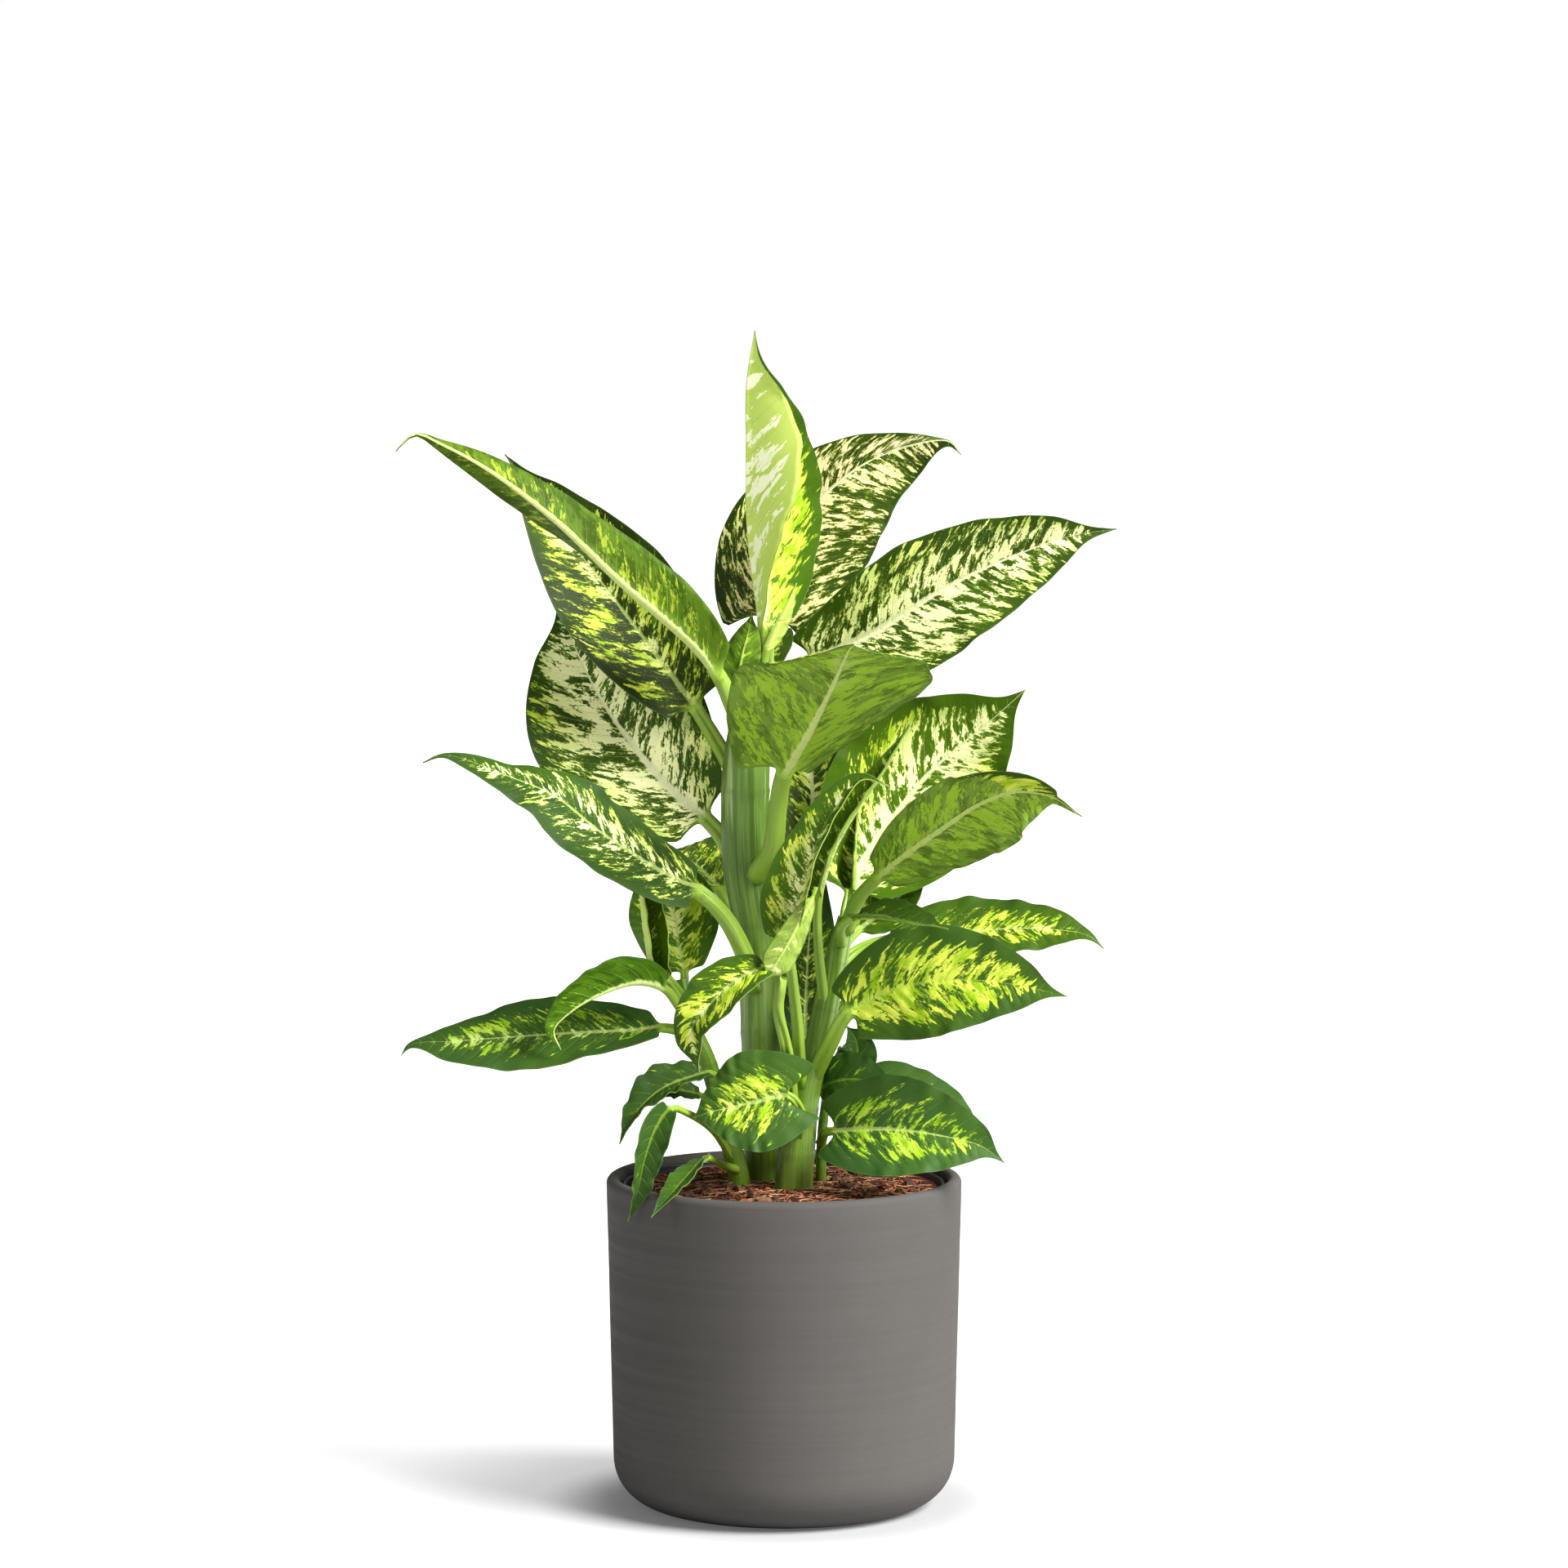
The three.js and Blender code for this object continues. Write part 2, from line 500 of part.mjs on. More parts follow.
// Points round a spine, first over the side that the upper face looks to
function roundRing(frame, radius, count) {
  const ring = [];
  for (let k = 0; k < count; k += 1) {
    const angle = Math.PI * (1 - (2 * k + 1) / count);
    ring.push(frame.origin.clone()
      .addScaledVector(frame.side, radius * Math.cos(angle))
      .addScaledVector(frame.up, radius * Math.sin(angle)));
  }
  return ring;
}

// Origin, side and upward directions at a share of a curve's length
function frameAt(curve, share, face) {
  const along = curve.getTangentAt(share);
  const up = face.clone().addScaledVector(along, -face.dot(along)).normalize();
  const side = new THREE.Vector3().crossVectors(along, up);
  return { origin: curve.getPointAt(share), along, up, side };
}

function stemSolid(stem, extra = 0) {
  const curve = curveThrough(stem.points);
  const radius = new THREE.CatmullRomCurve3(
    stem.radii.map((value, k) => new THREE.Vector3(value, k, 0)), false, 'centripetal');
  const lengths = curve.getLengths(CURVE_STEPS);
  const total = lengths[CURVE_STEPS];
  const rings = [];
  for (let step = 0; step <= STEM_STEPS; step += 1) {
    const share = step / STEM_STEPS;
    const place = lengths.findIndex((length) => length >= share * total - 1e-6) / CURVE_STEPS;
    const frame = frameAt(curve, share, new THREE.Vector3(0, -1, 0));
    rings.push(roundRing(frame, radius.getPoint(place).x + extra, STEM_SIDES));
  }
  return solidOf(loft(rings, 0));
}

// Half width of a blade as a share of its greatest half width
function outline(v, peak) {
  if (v < peak) {
    return (1 - (1 - v / peak) ** 2) ** BASE_FULLNESS;
  }
  return (1 - ((v - peak) / (1 - peak)) ** TIP_ONSET) ** TIP_TAPER;
}

// How far the base lobes are swept back at height v of the blade
function lobeSweep(v) {
  if (v < LOBE_CREST) {
    return v / LOBE_CREST;
  }
  return Math.max(0, 1 - (v - LOBE_CREST) / (LOBE_END - LOBE_CREST)) ** 2;
}

// Sideways reach and rise of a half blade that leaves the midrib at `fold`
// and turns by `curl` on its way out, and the angle that it has there
function bend(width, fold, curl, share) {
  const start = THREE.MathUtils.degToRad(fold);
  const turn = THREE.MathUtils.degToRad(Math.max(curl, 0.01));
  const end = start + turn * share;
  return {
    reach: width * (Math.sin(end) - Math.sin(start)) / turn,
    rise: width * (Math.cos(start) - Math.cos(end)) / turn,
    angle: end,
  };
}

// A point in the middle of the blade's thickness, and the way out of its
// upper face there
function bladePlace(leaf, frame, v, u) {
  const mix = THREE.MathUtils.lerp;
  const half = Math.max(TIP_HALF_WIDTH,
    leaf.petiole * (1 - v) ** PETIOLE_FADE + leaf.width / 2 * outline(v, leaf.peak));
  const [foldBase, foldTip, curlBase, curlTip] = u < 0 ? leaf.left : leaf.right;
  const { reach, rise, angle } = bend(half, mix(foldBase, foldTip, v),
    mix(curlBase, curlTip, v), Math.abs(u));
  const [height, number] = leaf.wave;
  const wave = height * Math.sin(2 * Math.PI * (number * v + WAVE_LEAN * u)) * u * u
    * Math.sin(Math.PI * v);
  const point = frame.origin.clone()
    .addScaledVector(frame.side, Math.sign(u) * reach)
    .addScaledVector(frame.up, rise + wave)
    .addScaledVector(frame.along, -leaf.lobe * lobeSweep(v) * Math.abs(u) ** LOBE_POWER);
  const outward = frame.up.clone();
  if (u !== 0) {
    outward.multiplyScalar(Math.cos(angle))
      .addScaledVector(frame.side, -Math.sign(u) * Math.sin(angle));
  }
  return { point, outward };
}

function bladeRing(leaf, frame, v, columns) {
  const upper = [];
  const lower = [];
  const rib = leaf.petiole * RIB_SHARE * (1 - v) + RIB_LEAST;
  for (let k = 0; k <= columns; k += 1) {
    const u = 2 * k / columns - 1;
    const { point, outward } = bladePlace(leaf, frame, v, u);
    const under = BLADE_THICKNESS / 2 + (u === 0 ? rib : 0);
    upper.push(point.clone().addScaledVector(outward, BLADE_THICKNESS / 2));
    lower.unshift(point.clone().addScaledVector(outward, -under));
  }
  return [...upper, ...lower];
}

function leafSolid(leaf) {
  const curve = curveThrough(leaf.spine);
  const lengths = curve.getLengths(CURVE_STEPS);
  const total = lengths[CURVE_STEPS];
  const startIndex = Math.round(CURVE_STEPS * leaf.blade / (leaf.spine.length - 1));
  const start = lengths[startIndex] / total;
  const large = leaf.width > LARGE_BLADE;
  const columns = large ? LARGE_COLUMNS : SMALL_COLUMNS;
  const rows = large ? LARGE_ROWS : SMALL_ROWS;
  const faces = leaf.face.map((face) => new THREE.Vector3(...face));
  const rings = [];
  for (let row = 0; row < PETIOLE_ROWS; row += 1) {
    const share = row / PETIOLE_ROWS;
    const radius = leaf.petiole * (1 + PETIOLE_FLARE * (1 - share));
    rings.push(roundRing(frameAt(curve, start * share, faces[0]), radius, 2 * columns + 2));
  }
  for (const v of rows) {
    const face = faces[0].clone().lerp(faces[1], v);
    const frame = frameAt(curve, start + (1 - start) * v, face);
    rings.push(bladeRing(leaf, frame, v, columns));
  }
  return solidOf(loft(rings, columns));
}

const plant = new THREE.Group();

function add(name, geometry, slot) {
  const mesh = new THREE.Mesh(geometry, material(slot));
  mesh.name = name;
  plant.add(mesh);
}

const grownStems = {};
let soil = solidOf(soilBlock());
for (const [name, stem] of Object.entries(STEMS)) {
  grownStems[name] = stemSolid(stem, GAP);
  soil = soil.subtract(grownStems[name]);
  add(name, geometryOf(stemSolid(stem)), 'stem');
}
for (const leaf of LEAVES) {
  const seated = leafSolid(leaf).subtract(grownStems[leaf.stem]);
  add(leaf.name, geometryOf(largestPiece(seated)), 'leaf');
}
add('soil', geometryOf(soil), 'soil');
add('nursery_pot', liner(), 'liner');
add('planter', planter(), 'planter');

export default plant;
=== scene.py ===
import math
import random
from typing import NamedTuple

import bmesh
import bpy
from mathutils import Matrix, Vector, noise


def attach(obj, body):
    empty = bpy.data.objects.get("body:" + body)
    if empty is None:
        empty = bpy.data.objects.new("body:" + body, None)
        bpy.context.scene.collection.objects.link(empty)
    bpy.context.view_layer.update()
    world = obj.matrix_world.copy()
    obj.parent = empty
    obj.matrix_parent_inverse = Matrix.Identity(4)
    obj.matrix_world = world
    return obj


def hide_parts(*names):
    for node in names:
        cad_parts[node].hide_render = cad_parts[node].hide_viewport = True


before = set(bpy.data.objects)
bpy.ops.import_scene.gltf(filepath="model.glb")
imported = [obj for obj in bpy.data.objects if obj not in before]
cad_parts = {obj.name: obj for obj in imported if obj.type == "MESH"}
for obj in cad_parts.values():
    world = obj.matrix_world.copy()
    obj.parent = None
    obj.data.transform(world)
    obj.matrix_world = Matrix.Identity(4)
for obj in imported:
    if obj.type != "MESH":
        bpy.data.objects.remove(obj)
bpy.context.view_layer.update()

bl_info = {
    "name": "Potted dieffenbachia",
    "version": (1, 0, 0),
    "blender": (4, 5, 0),
    "location": "View3D > Sidebar > Plant",
    "description": "A variegated dumb cane in a grey planter, with its soil, stems and leaves",
    "category": "Add Mesh",
}

MM = 0.001
FULL_TURN = 2 * math.pi

# Planter, in millimetres
POT_HEIGHT = 233
POT_TOP_RADIUS = 125
POT_LOW_RADIUS = 120.5
POT_BOTTOM_ROUND = 34
POT_WALL = 9.5
POT_FLOOR = 12
POT_INNER_ROUND = 24
POT_STEPS = 128
POT_WALL_STEPS = 9
POT_ARC_STEPS = 14
POT_INNER_ARC_STEPS = 8
POT_LUMP_SCALE = 14       # per metre
POT_LUMP_DEPTH = 0.35
POT_LUMPS_ABOVE = 20
POT_LUMPS_OUTSIDE = 60

# Nursery pot
LINER_TOP = 228
LINER_FOOT_RADIUS = 80
LINER_NECK_RADIUS = 109
LINER_LIP_RADIUS = 113.5
LINER_LIP_HEIGHT = 8
LINER_WALL = 1.3
LINER_STEPS = 96
LINER_ARC_STEPS = 8
LINER_NECK_DROP = 0.4     # the step from the wall out to the lip
LINER_STEP_INSET = 0.6
LINER_STEP_RISE = 0.8
LINER_INNER_RISE = 1

# Soil, its fibres and its crumbs
GAP = 0.3
SOIL_EDGE_BELOW_LIP = 3
SOIL_EDGE_FLARE = 1.2
SOIL_CROWN = 3
SOIL_CROWN_FROM = 0.35
SOIL_STEPS = 160
SOIL_RINGS = 60
SOIL_LEVEL = 0.45         # shares of the crumbs' height: how far down the surface lies, and
SOIL_LUMP_SHARE = 0.5     # how much its lumps stand out
SOIL_LUMPS = ((45, 0.5), (130, 0.4), (420, 0.25))     # per metre, and share of the height
COIR_SEED = 21
COIR_EDGE = 4
COIR_REACH = 0.97
STRAND_AROUND = 4
STRAND_ROWS = 7
STRAND_LENGTHS = 5, 26
STRAND_RADII = 0.12, 0.38
STRAND_BEND = 1.6
STRAND_TAPER = 0.75
STRAND_RISE = 0.6         # share of its radius
STRAND_ARCH = 1.1         # four times the height of the arch of a strand of the next length
STRAND_ARCH_LENGTH = 12
STRAND_ARCH_MOST = 1.4

# Leaf blades
LARGE_WIDTH = 60          # width above which a blade has the finer mesh
LARGE_MESH = 17, 84       # columns across half a blade, and rows along it
SMALL_MESH = 11, 48
STALK_ROWS = 14
LEAF_SEED = 11
LEAF_SEED_STEP = 7919
LEAF_OFFSET = 3.7         # how far apart two leaves lie in the noise of the flecks
RIB_SHARE = 0.75
RIB_LEAST = 0.4
RIB_SWELL = 0.95
CHANNEL_SHARE = 0.07      # depth of the channel over the midrib, by the petiole's radius
TIP_HALF_WIDTH = 0.5
TIP_LEAST = 0.15
PETIOLE_FADE = 8
PETIOLE_FLARE = 0.25
GROOVE_DEPTH = 0.34       # shares of the petiole's radius, and angles in radians
GROOVE_WIDTH = 0.42
WING_HEIGHT = 0.1
WING_PLACE = 0.72
WING_WIDTH = 0.28
LOBE_CREST = 0.06
LOBE_END = 0.42
LOBE_POWER = 1.5
BASE_FULLNESS = 0.7
BASE_BLEND = 0.07
TIP_ONSET = 1.8
TIP_TAPER = 1.2
WAVE_LEAN = 0.3
CRINKLES = 5.3, 9.1       # fine waves along a blade's margin
CRINKLE_SHARE = 0.6
CRINKLE_SHIFT = 2.1
CRINKLE_LEAN = 1.4
LARGE_CRINKLE = 1.0
SMALL_CRINKLE = 0.6
QUILT_FROM_RIB = 1, 9
QUILT_FROM_MARGIN = 0, 6
VEIN_SWEEP = 0.62
VEIN_CURVE = 0.34
VEIN_SPREAD = 0.45
COLUMN_POWER = 1.55
ROW_POWER = 1.08
CURVE_STEPS = 200

# Studio, in metres but for the sensor, which is in millimetres
FLOOR_SIZE = 30
# The dimmer floor close to the planter is painted shade: a soft dark ring round its foot
FLOOR_NEAR = 0.115, 0.18  # where the floor's glow grows, out from the planter's axis
FLOOR_FAR = 0.16, 0.34
SENSOR_WIDTH = 36
CLIP_END = 100

# Stem surfaces
STEM_AROUND = 40
STEM_ROWS = 120
JOINT_HEIGHT = 2.2
JOINT_SWELL = 0.035
JOINT_SPREAD = 1.8
JOINT_GROOVE = 0.03
JOINT_GROOVE_ABOVE = 1.1
JOINT_GROOVE_SHARPNESS = 3
SCAR_SHARPNESS = 2.5
STEM_FOLDS = ((0.03, 3, 41), (0.018, 7, -23))     # depth, number, and height of a twist
STEM_FOLDS_FULL = 8       # radius from which the folds have their full depth
STEM_INSET = 0.045

# Stems: points along the middle, the radius at each point and the leaf joints' heights
STEMS = {
    "stem_main": dict(
        points=[[-14, 20, 200], [-14, 20, 233], [-15, 15, 300], [-17, 9, 388], [-26, 6, 451],
                [-27, 4, 515], [-22, 2, 567], [-15, 1, 606]],
        radii=[15, 15, 15.5, 16, 17.5, 17.5, 13, 7], joints=[262, 300, 334, 372, 410, 452, 505]),
    "stem_left": dict(
        points=[[-30, -6, 205], [-32, -5, 233], [-40, -8, 263], [-54, -8, 315], [-66, -6, 343],
                [-72, -3, 372]],
        radii=[8, 8, 7, 6.5, 6, 4.5], joints=[250, 281, 312, 336]),
    "stem_right": dict(
        points=[[7, -18, 205], [7, -18, 231], [14, -18, 290], [25, -14, 333], [35, -10, 378],
                [44, -8, 416]],
        radii=[14, 14, 11, 9.5, 9, 6.5], joints=[252, 284, 318, 352, 385]),
    "stem_side": dict(
        points=[[26, 10, 205], [26, 9, 236], [27, 9, 263], [30, 10, 290]],
        radii=[4, 4, 3.6, 3.2], joints=[248, 270]),
}


class Leaf(NamedTuple):
    """One leaf, in millimetres and degrees."""
    name: str
    petiole: float          # radius of its stalk
    width: float            # of the whole blade
    peak: float             # share of the blade's length at which it is widest
    blade: int              # number of the spine's point at which the blade begins
    spine: list             # points from inside the stem, along the petiole and midrib, to the tip
    face: list              # where the upper side looks at the base, and at the tip if it differs
    marks: tuple            # how far the light flecks reach, how cream rather than lime they are,
    #                         how wide the plain margin is, how deep the green is, how pale the
    #                         midrib is, and how cool the green is
    left: tuple = (10, 10, 10, 10)    # fold at base and tip, and curl at base and tip
    right: tuple = None               # the same of the right half, if it differs
    lobe: float = 4         # how far the lobes reach back beside the petiole
    wave: tuple = (2, 2)    # height and number of the blade's slow waves
    crinkle: float = None   # height of the margin's fine waves, if it isn't the usual one
    drawn: tuple = (0.42, 0.82, 0.95)     # how much narrower the tip is, and from where to where


# Leaves of the tall shoot in the middle
TALL_LEAVES = [
    Leaf("leaf_new", petiole=6, width=116, peak=0.48, blade=1,
         spine=[(-15, 1, 592), (-13, 0, 612), (-15, 3, 632), (-21, 6, 672), (-24, 7, 704),
                (-25, 6, 750), (-25, 3, 788), (-20, 0, 825)],
         face=[(0.8, -0.6, 0.1), (0.85, -0.5, 0)], left=(10, 95, 50, 20), right=(5, 10, 60, 40),
         lobe=0, wave=(1, 1), marks=(0.88, 0.45, 9, 0, 0.3, 0.3)),
    Leaf("leaf_west_high", petiole=5.5, width=56, peak=0.26, blade=2,
         spine=[(-26, -4, 540), (-36, -18, 566), (-45, -24, 586), (-62, -32, 608),
                (-113, -48, 654), (-157, -56, 696), (-202, -60, 730), (-235, -62, 748),
                (-253, -62, 755), (-266, -60, 743)],
         face=[(0.45, 0.6, 0.6), (0.1, 1, 0.05)], left=(35, 64, 5, 15), right=(62, 0, 15, 10),
         lobe=6, marks=(0.55, 0.1, 4, 1, 0.4, -0.8)),
    Leaf("leaf_west_back", petiole=5, width=94, peak=0.4, blade=2,
         spine=[(-30, 12, 505), (-42, 16, 528), (-61, 20, 559), (-93, 28, 602), (-126, 38, 645),
                (-163, 46, 694), (-189, 50, 729), (-197, 52, 738)],
         face=[(0.1, -1, 0.25), (-0.1, -0.9, 0.5)], left=(15, 20, 10, 15), right=(15, 25, 10, 15),
         lobe=8, marks=(0.56, 0.35, 4, 1, 0.3, -0.1)),
    Leaf("leaf_east_back", petiole=5, width=112, peak=0.36, blade=2,
         spine=[(-18, 6, 575), (-14, 18, 600), (-13, 24, 622), (-6, 32, 652), (18, 42, 698),
                (54, 46, 730), (89, 42, 744), (116, 34, 747), (124, 30, 738)],
         face=[(-0.2, -1, 0.1), (-0.2, -0.9, 0.4)], left=(0, -66, 5, 5), right=(0, -10, 5, 5),
         lobe=22, marks=(0.64, 0.95, 3, 0.95, 0.9, -0.9)),
    Leaf("leaf_east_high", petiole=5.5, width=92, peak=0.4, blade=2,
         spine=[(-22, 6, 540), (-3, 8, 570), (17, 4, 592), (65, -4, 617), (114, -10, 648),
                (159, -12, 669), (199, -12, 683), (232, -10, 688)],
         face=[(-0.2, -0.85, 0.4), (-0.2, -0.85, 0.45)], left=(46, 50, 5, 10),
         right=(-10, -10, 5, 5), lobe=16, marks=(0.66, 0.85, 3, 0.8, 1, 0.1)),
    Leaf("leaf_front", petiole=6, width=138, peak=0.45, blade=3,
         spine=[(-20, -6, 445), (-8, -24, 466), (-4, -34, 498), (0, -46, 520), (17, -75, 553),
                (34, -105, 589), (43, -145, 612), (46, -205, 620)],
         face=[(0.1, 0.8, 0.5), (0, 0.3, 1)], left=(48, -30, 5, 0), right=(0, -18, 0, 0), lobe=24,
         wave=(4, 2), marks=(0.8, 0.1, 5, 0.78, 0.35, 0)),
    Leaf("leaf_west_broad", petiole=5.5, width=130, peak=0.5, blade=2,
         spine=[(-32, 8, 443), (-42, 14, 468), (-54, 18, 482), (-80, 28, 503), (-105, 38, 531),
                (-128, 46, 563), (-147, 50, 600), (-160, 46, 636)],
         face=[(0, -1, 0.25), (0, -1, 0.15)], lobe=8, marks=(0.66, 0.8, 3, 0.85, 1, 0.2)),
    Leaf("leaf_west_low", petiole=5.5, width=70, peak=0.32, blade=3,
         spine=[(-20, -2, 366), (-30, -22, 397), (-42, -34, 420), (-58, -42, 437), (-90, -50, 456),
                (-127, -56, 481), (-158, -60, 506), (-191, -60, 520), (-234, -58, 534),
                (-249, -58, 529)],
         face=[(0, -0.62, 0.78)], left=(0, 5, 0, 5), right=(0, -22, 0, 5), lobe=8, wave=(3, 2),
         marks=(0.5, 0.7, 6, 1, 0.35, 0.5)),
]

# Leaves of the left shoot
LEFT_LEAVES = [
    Leaf("leaf_left_rolled", petiole=3.5, width=44, peak=0.45, blade=1,
         spine=[(-71, -5, 358), (-80, -13, 372), (-91, -18, 384), (-96, -20, 408),
                (-100, -18, 437), (-105, -14, 462)],
         face=[(0.5, -0.85, 0)], left=(30, 40, 70, 60), right=(40, 40, 70, 60), lobe=0,
         wave=(0, 1), marks=(0.4, 0.3, 4, 0.1, 0.1, 0)),
    Leaf("leaf_left_behind", petiole=3, width=66, peak=0.45, blade=1,
         spine=[(-71, 0, 362), (-70, 12, 374), (-74, 18, 392), (-77, 24, 412), (-83, 28, 438),
                (-92, 30, 467)],
         face=[(0, -1, 0.1)], marks=(0.58, 0.2, 5, 0.2, 0.2, 0.4)),
    Leaf("leaf_left_arching", petiole=3.2, width=44, peak=0.4, blade=2,
         spine=[(-64, -9, 340), (-74, -20, 356), (-83, -27, 368), (-102, -36, 374),
                (-125, -43, 368), (-147, -48, 356), (-160, -50, 342), (-155, -50, 328)],
         face=[(-0.2, 0.5, 0.8), (-0.7, 0.4, 0.3)], left=(25, 30, 10, 10), lobe=3, wave=(1, 2),
         marks=(0.4, 0.1, 4, 1, 0.4, 0)),
    Leaf("leaf_left_long", petiole=3.5, width=68, peak=0.45, blade=1,
         spine=[(-62, -6, 333), (-83, -8, 338), (-109, -14, 337), (-148, -20, 336),
                (-188, -24, 334), (-228, -24, 331), (-261, -22, 328), (-268, -20, 320)],
         face=[(0, -0.7, 0.7), (0, -0.85, 0.5)], left=(30, 0, 5, 5), right=(0, -30, 5, 5),
         marks=(0.5, 0.35, 10, 0.5, 0.35, 0.9)),
]

# Leaves in front of the canes
FRONT_LEAVES = [
    Leaf("leaf_centre_folded", petiole=3.6, width=50, peak=0.24, blade=3,
         spine=[(12, -24, 299), (9, -42, 348), (5, -56, 384), (3, -62, 402), (10, -74, 437),
                (21, -84, 472), (36, -90, 502), (54, -94, 521), (72, -96, 516)],
         face=[(-0.35, -0.85, 0.3), (-0.3, -0.7, 0.5)], left=(20, 30, 15, 10),
         right=(40, 40, 20, 10), marks=(0.6, 0.55, 5, 0.1, 0.2, 0.3)),
    Leaf("leaf_spear", petiole=3, width=30, peak=0.35, blade=2,
         spine=[(29, -14, 351), (24, -28, 397), (24, -36, 432), (34, -42, 467), (50, -50, 496),
                (68, -54, 522), (87, -56, 556)],
         face=[(-0.5, -0.7, 0.3), (-0.6, -0.7, 0.3)], left=(40, 40, 30, 30), lobe=0, wave=(0, 1),
         marks=(0.4, 0.5, 3, 0.4, 0.4, 0)),
    Leaf("leaf_centre_drooping", petiole=3.6, width=46, peak=0.4, blade=4,
         spine=[(7, -22, 274), (3, -44, 322), (-4, -60, 358), (-2, -74, 384), (-10, -84, 390),
                (-31, -94, 383), (-49, -100, 368), (-63, -102, 349), (-58, -100, 319)],
         face=[(-0.2, -0.6, 0.8), (-0.6, -0.7, 0.3)], lobe=3, wave=(1, 2),
         marks=(0.7, 0.35, 5, 0.5, 0.2, 0.3)),
]

# Leaves of the right shoot
RIGHT_LEAVES = [
    Leaf("leaf_right_back", petiole=4, width=122, peak=0.45, blade=1,
         spine=[(42, 0, 404), (46, 14, 428), (56, 24, 452), (80, 32, 486), (104, 36, 515),
                (130, 34, 538), (152, 28, 557), (170, 22, 574)],
         face=[(0, -1, 0.15)], left=(10, 10, 5, 5), lobe=8, marks=(0.62, 0.65, 9, 0.25, 0.9, 0)),
    Leaf("leaf_right_under", petiole=4.5, width=70, peak=0.6, blade=2,
         spine=[(44, -12, 408), (50, -24, 428), (64, -34, 446), (84, -48, 464), (107, -64, 482),
                (134, -82, 502), (159, -96, 512), (184, -92, 508), (204, -84, 494)],
         face=[(0.1, 0.95, 0.1), (0.3, 0.9, 0.2)], left=(0, -10, 5, 5), right=(0, -66, 5, 0),
         wave=(4, 2), drawn=(0.72, 0.82, 0.88), crinkle=2, marks=(0.8, 0.2, 5, 0.8, 0.2, 0)),
    Leaf("leaf_right_rolled", petiole=3, width=34, peak=0.4, blade=1,
         spine=[(45, -6, 412), (48, -6, 434), (49, -12, 463), (51, -14, 492)],
         face=[(-0.4, -0.9, 0)], left=(40, 40, 60, 50), lobe=0, wave=(0, 1),
         marks=(0.5, 0.4, 4, 0.5, 0.3, 0)),
    Leaf("leaf_right_far", petiole=3.5, width=64, peak=0.4, blade=2,
         spine=[(36, -4, 378), (52, 8, 391), (72, 12, 398), (103, 12, 402), (138, 8, 405),
                (172, 2, 407), (212, -4, 403), (224, -6, 394)],
         face=[(0, -0.6, 0.8)], left=(0, 5, 5, 5), marks=(0.54, 0.15, 9, 0.6, 0.3, 0.3)),
    Leaf("leaf_right_bright", petiole=5, width=80, peak=0.4, blade=2,
         spine=[(20, -17, 304), (32, -34, 330), (44, -46, 353), (68, -54, 368), (96, -64, 377),
                (129, -74, 380), (163, -82, 377), (195, -86, 370)],
         face=[(0, -0.95, 0.3)], left=(0, 5, 5, 5), lobe=12, marks=(0.76, 0.1, 10, 0.4, 0.1, 0.6)),
    Leaf("leaf_right_small", petiole=3, width=36, peak=0.45, blade=2,
         spine=[(40, -14, 398), (40, -32, 412), (48, -46, 420), (65, -62, 423), (84, -76, 421),
                (101, -84, 419), (113, -88, 417)],
         face=[(0, -0.3, 0.95)], left=(20, 20, 10, 10), lobe=2, wave=(1, 2),
         marks=(0.2, 0.2, 5, 0.8, 0.1, 0.4)),
    Leaf("leaf_right_inner", petiole=4, width=56, peak=0.45, blade=1,
         spine=[(-6, 10, 415), (14, 26, 440), (20, 40, 483), (19, 50, 517), (16, 54, 548),
                (14, 52, 578)],
         face=[(0.1, -1, 0)], marks=(0.5, 0.35, 3, 0.9, 0.7, 0)),
    Leaf("leaf_right_creased", petiole=3, width=44, peak=0.4, blade=1,
         spine=[(38, -8, 392), (52, 16, 404), (69, 26, 416), (86, 32, 430), (102, 36, 444)],
         face=[(0.3, -0.6, 0.7)], left=(40, 40, 10, 10), right=(20, 20, 10, 10), lobe=2,
         wave=(1, 2), marks=(0.3, 0.3, 4, 0.6, 0.4, 0.2)),
]

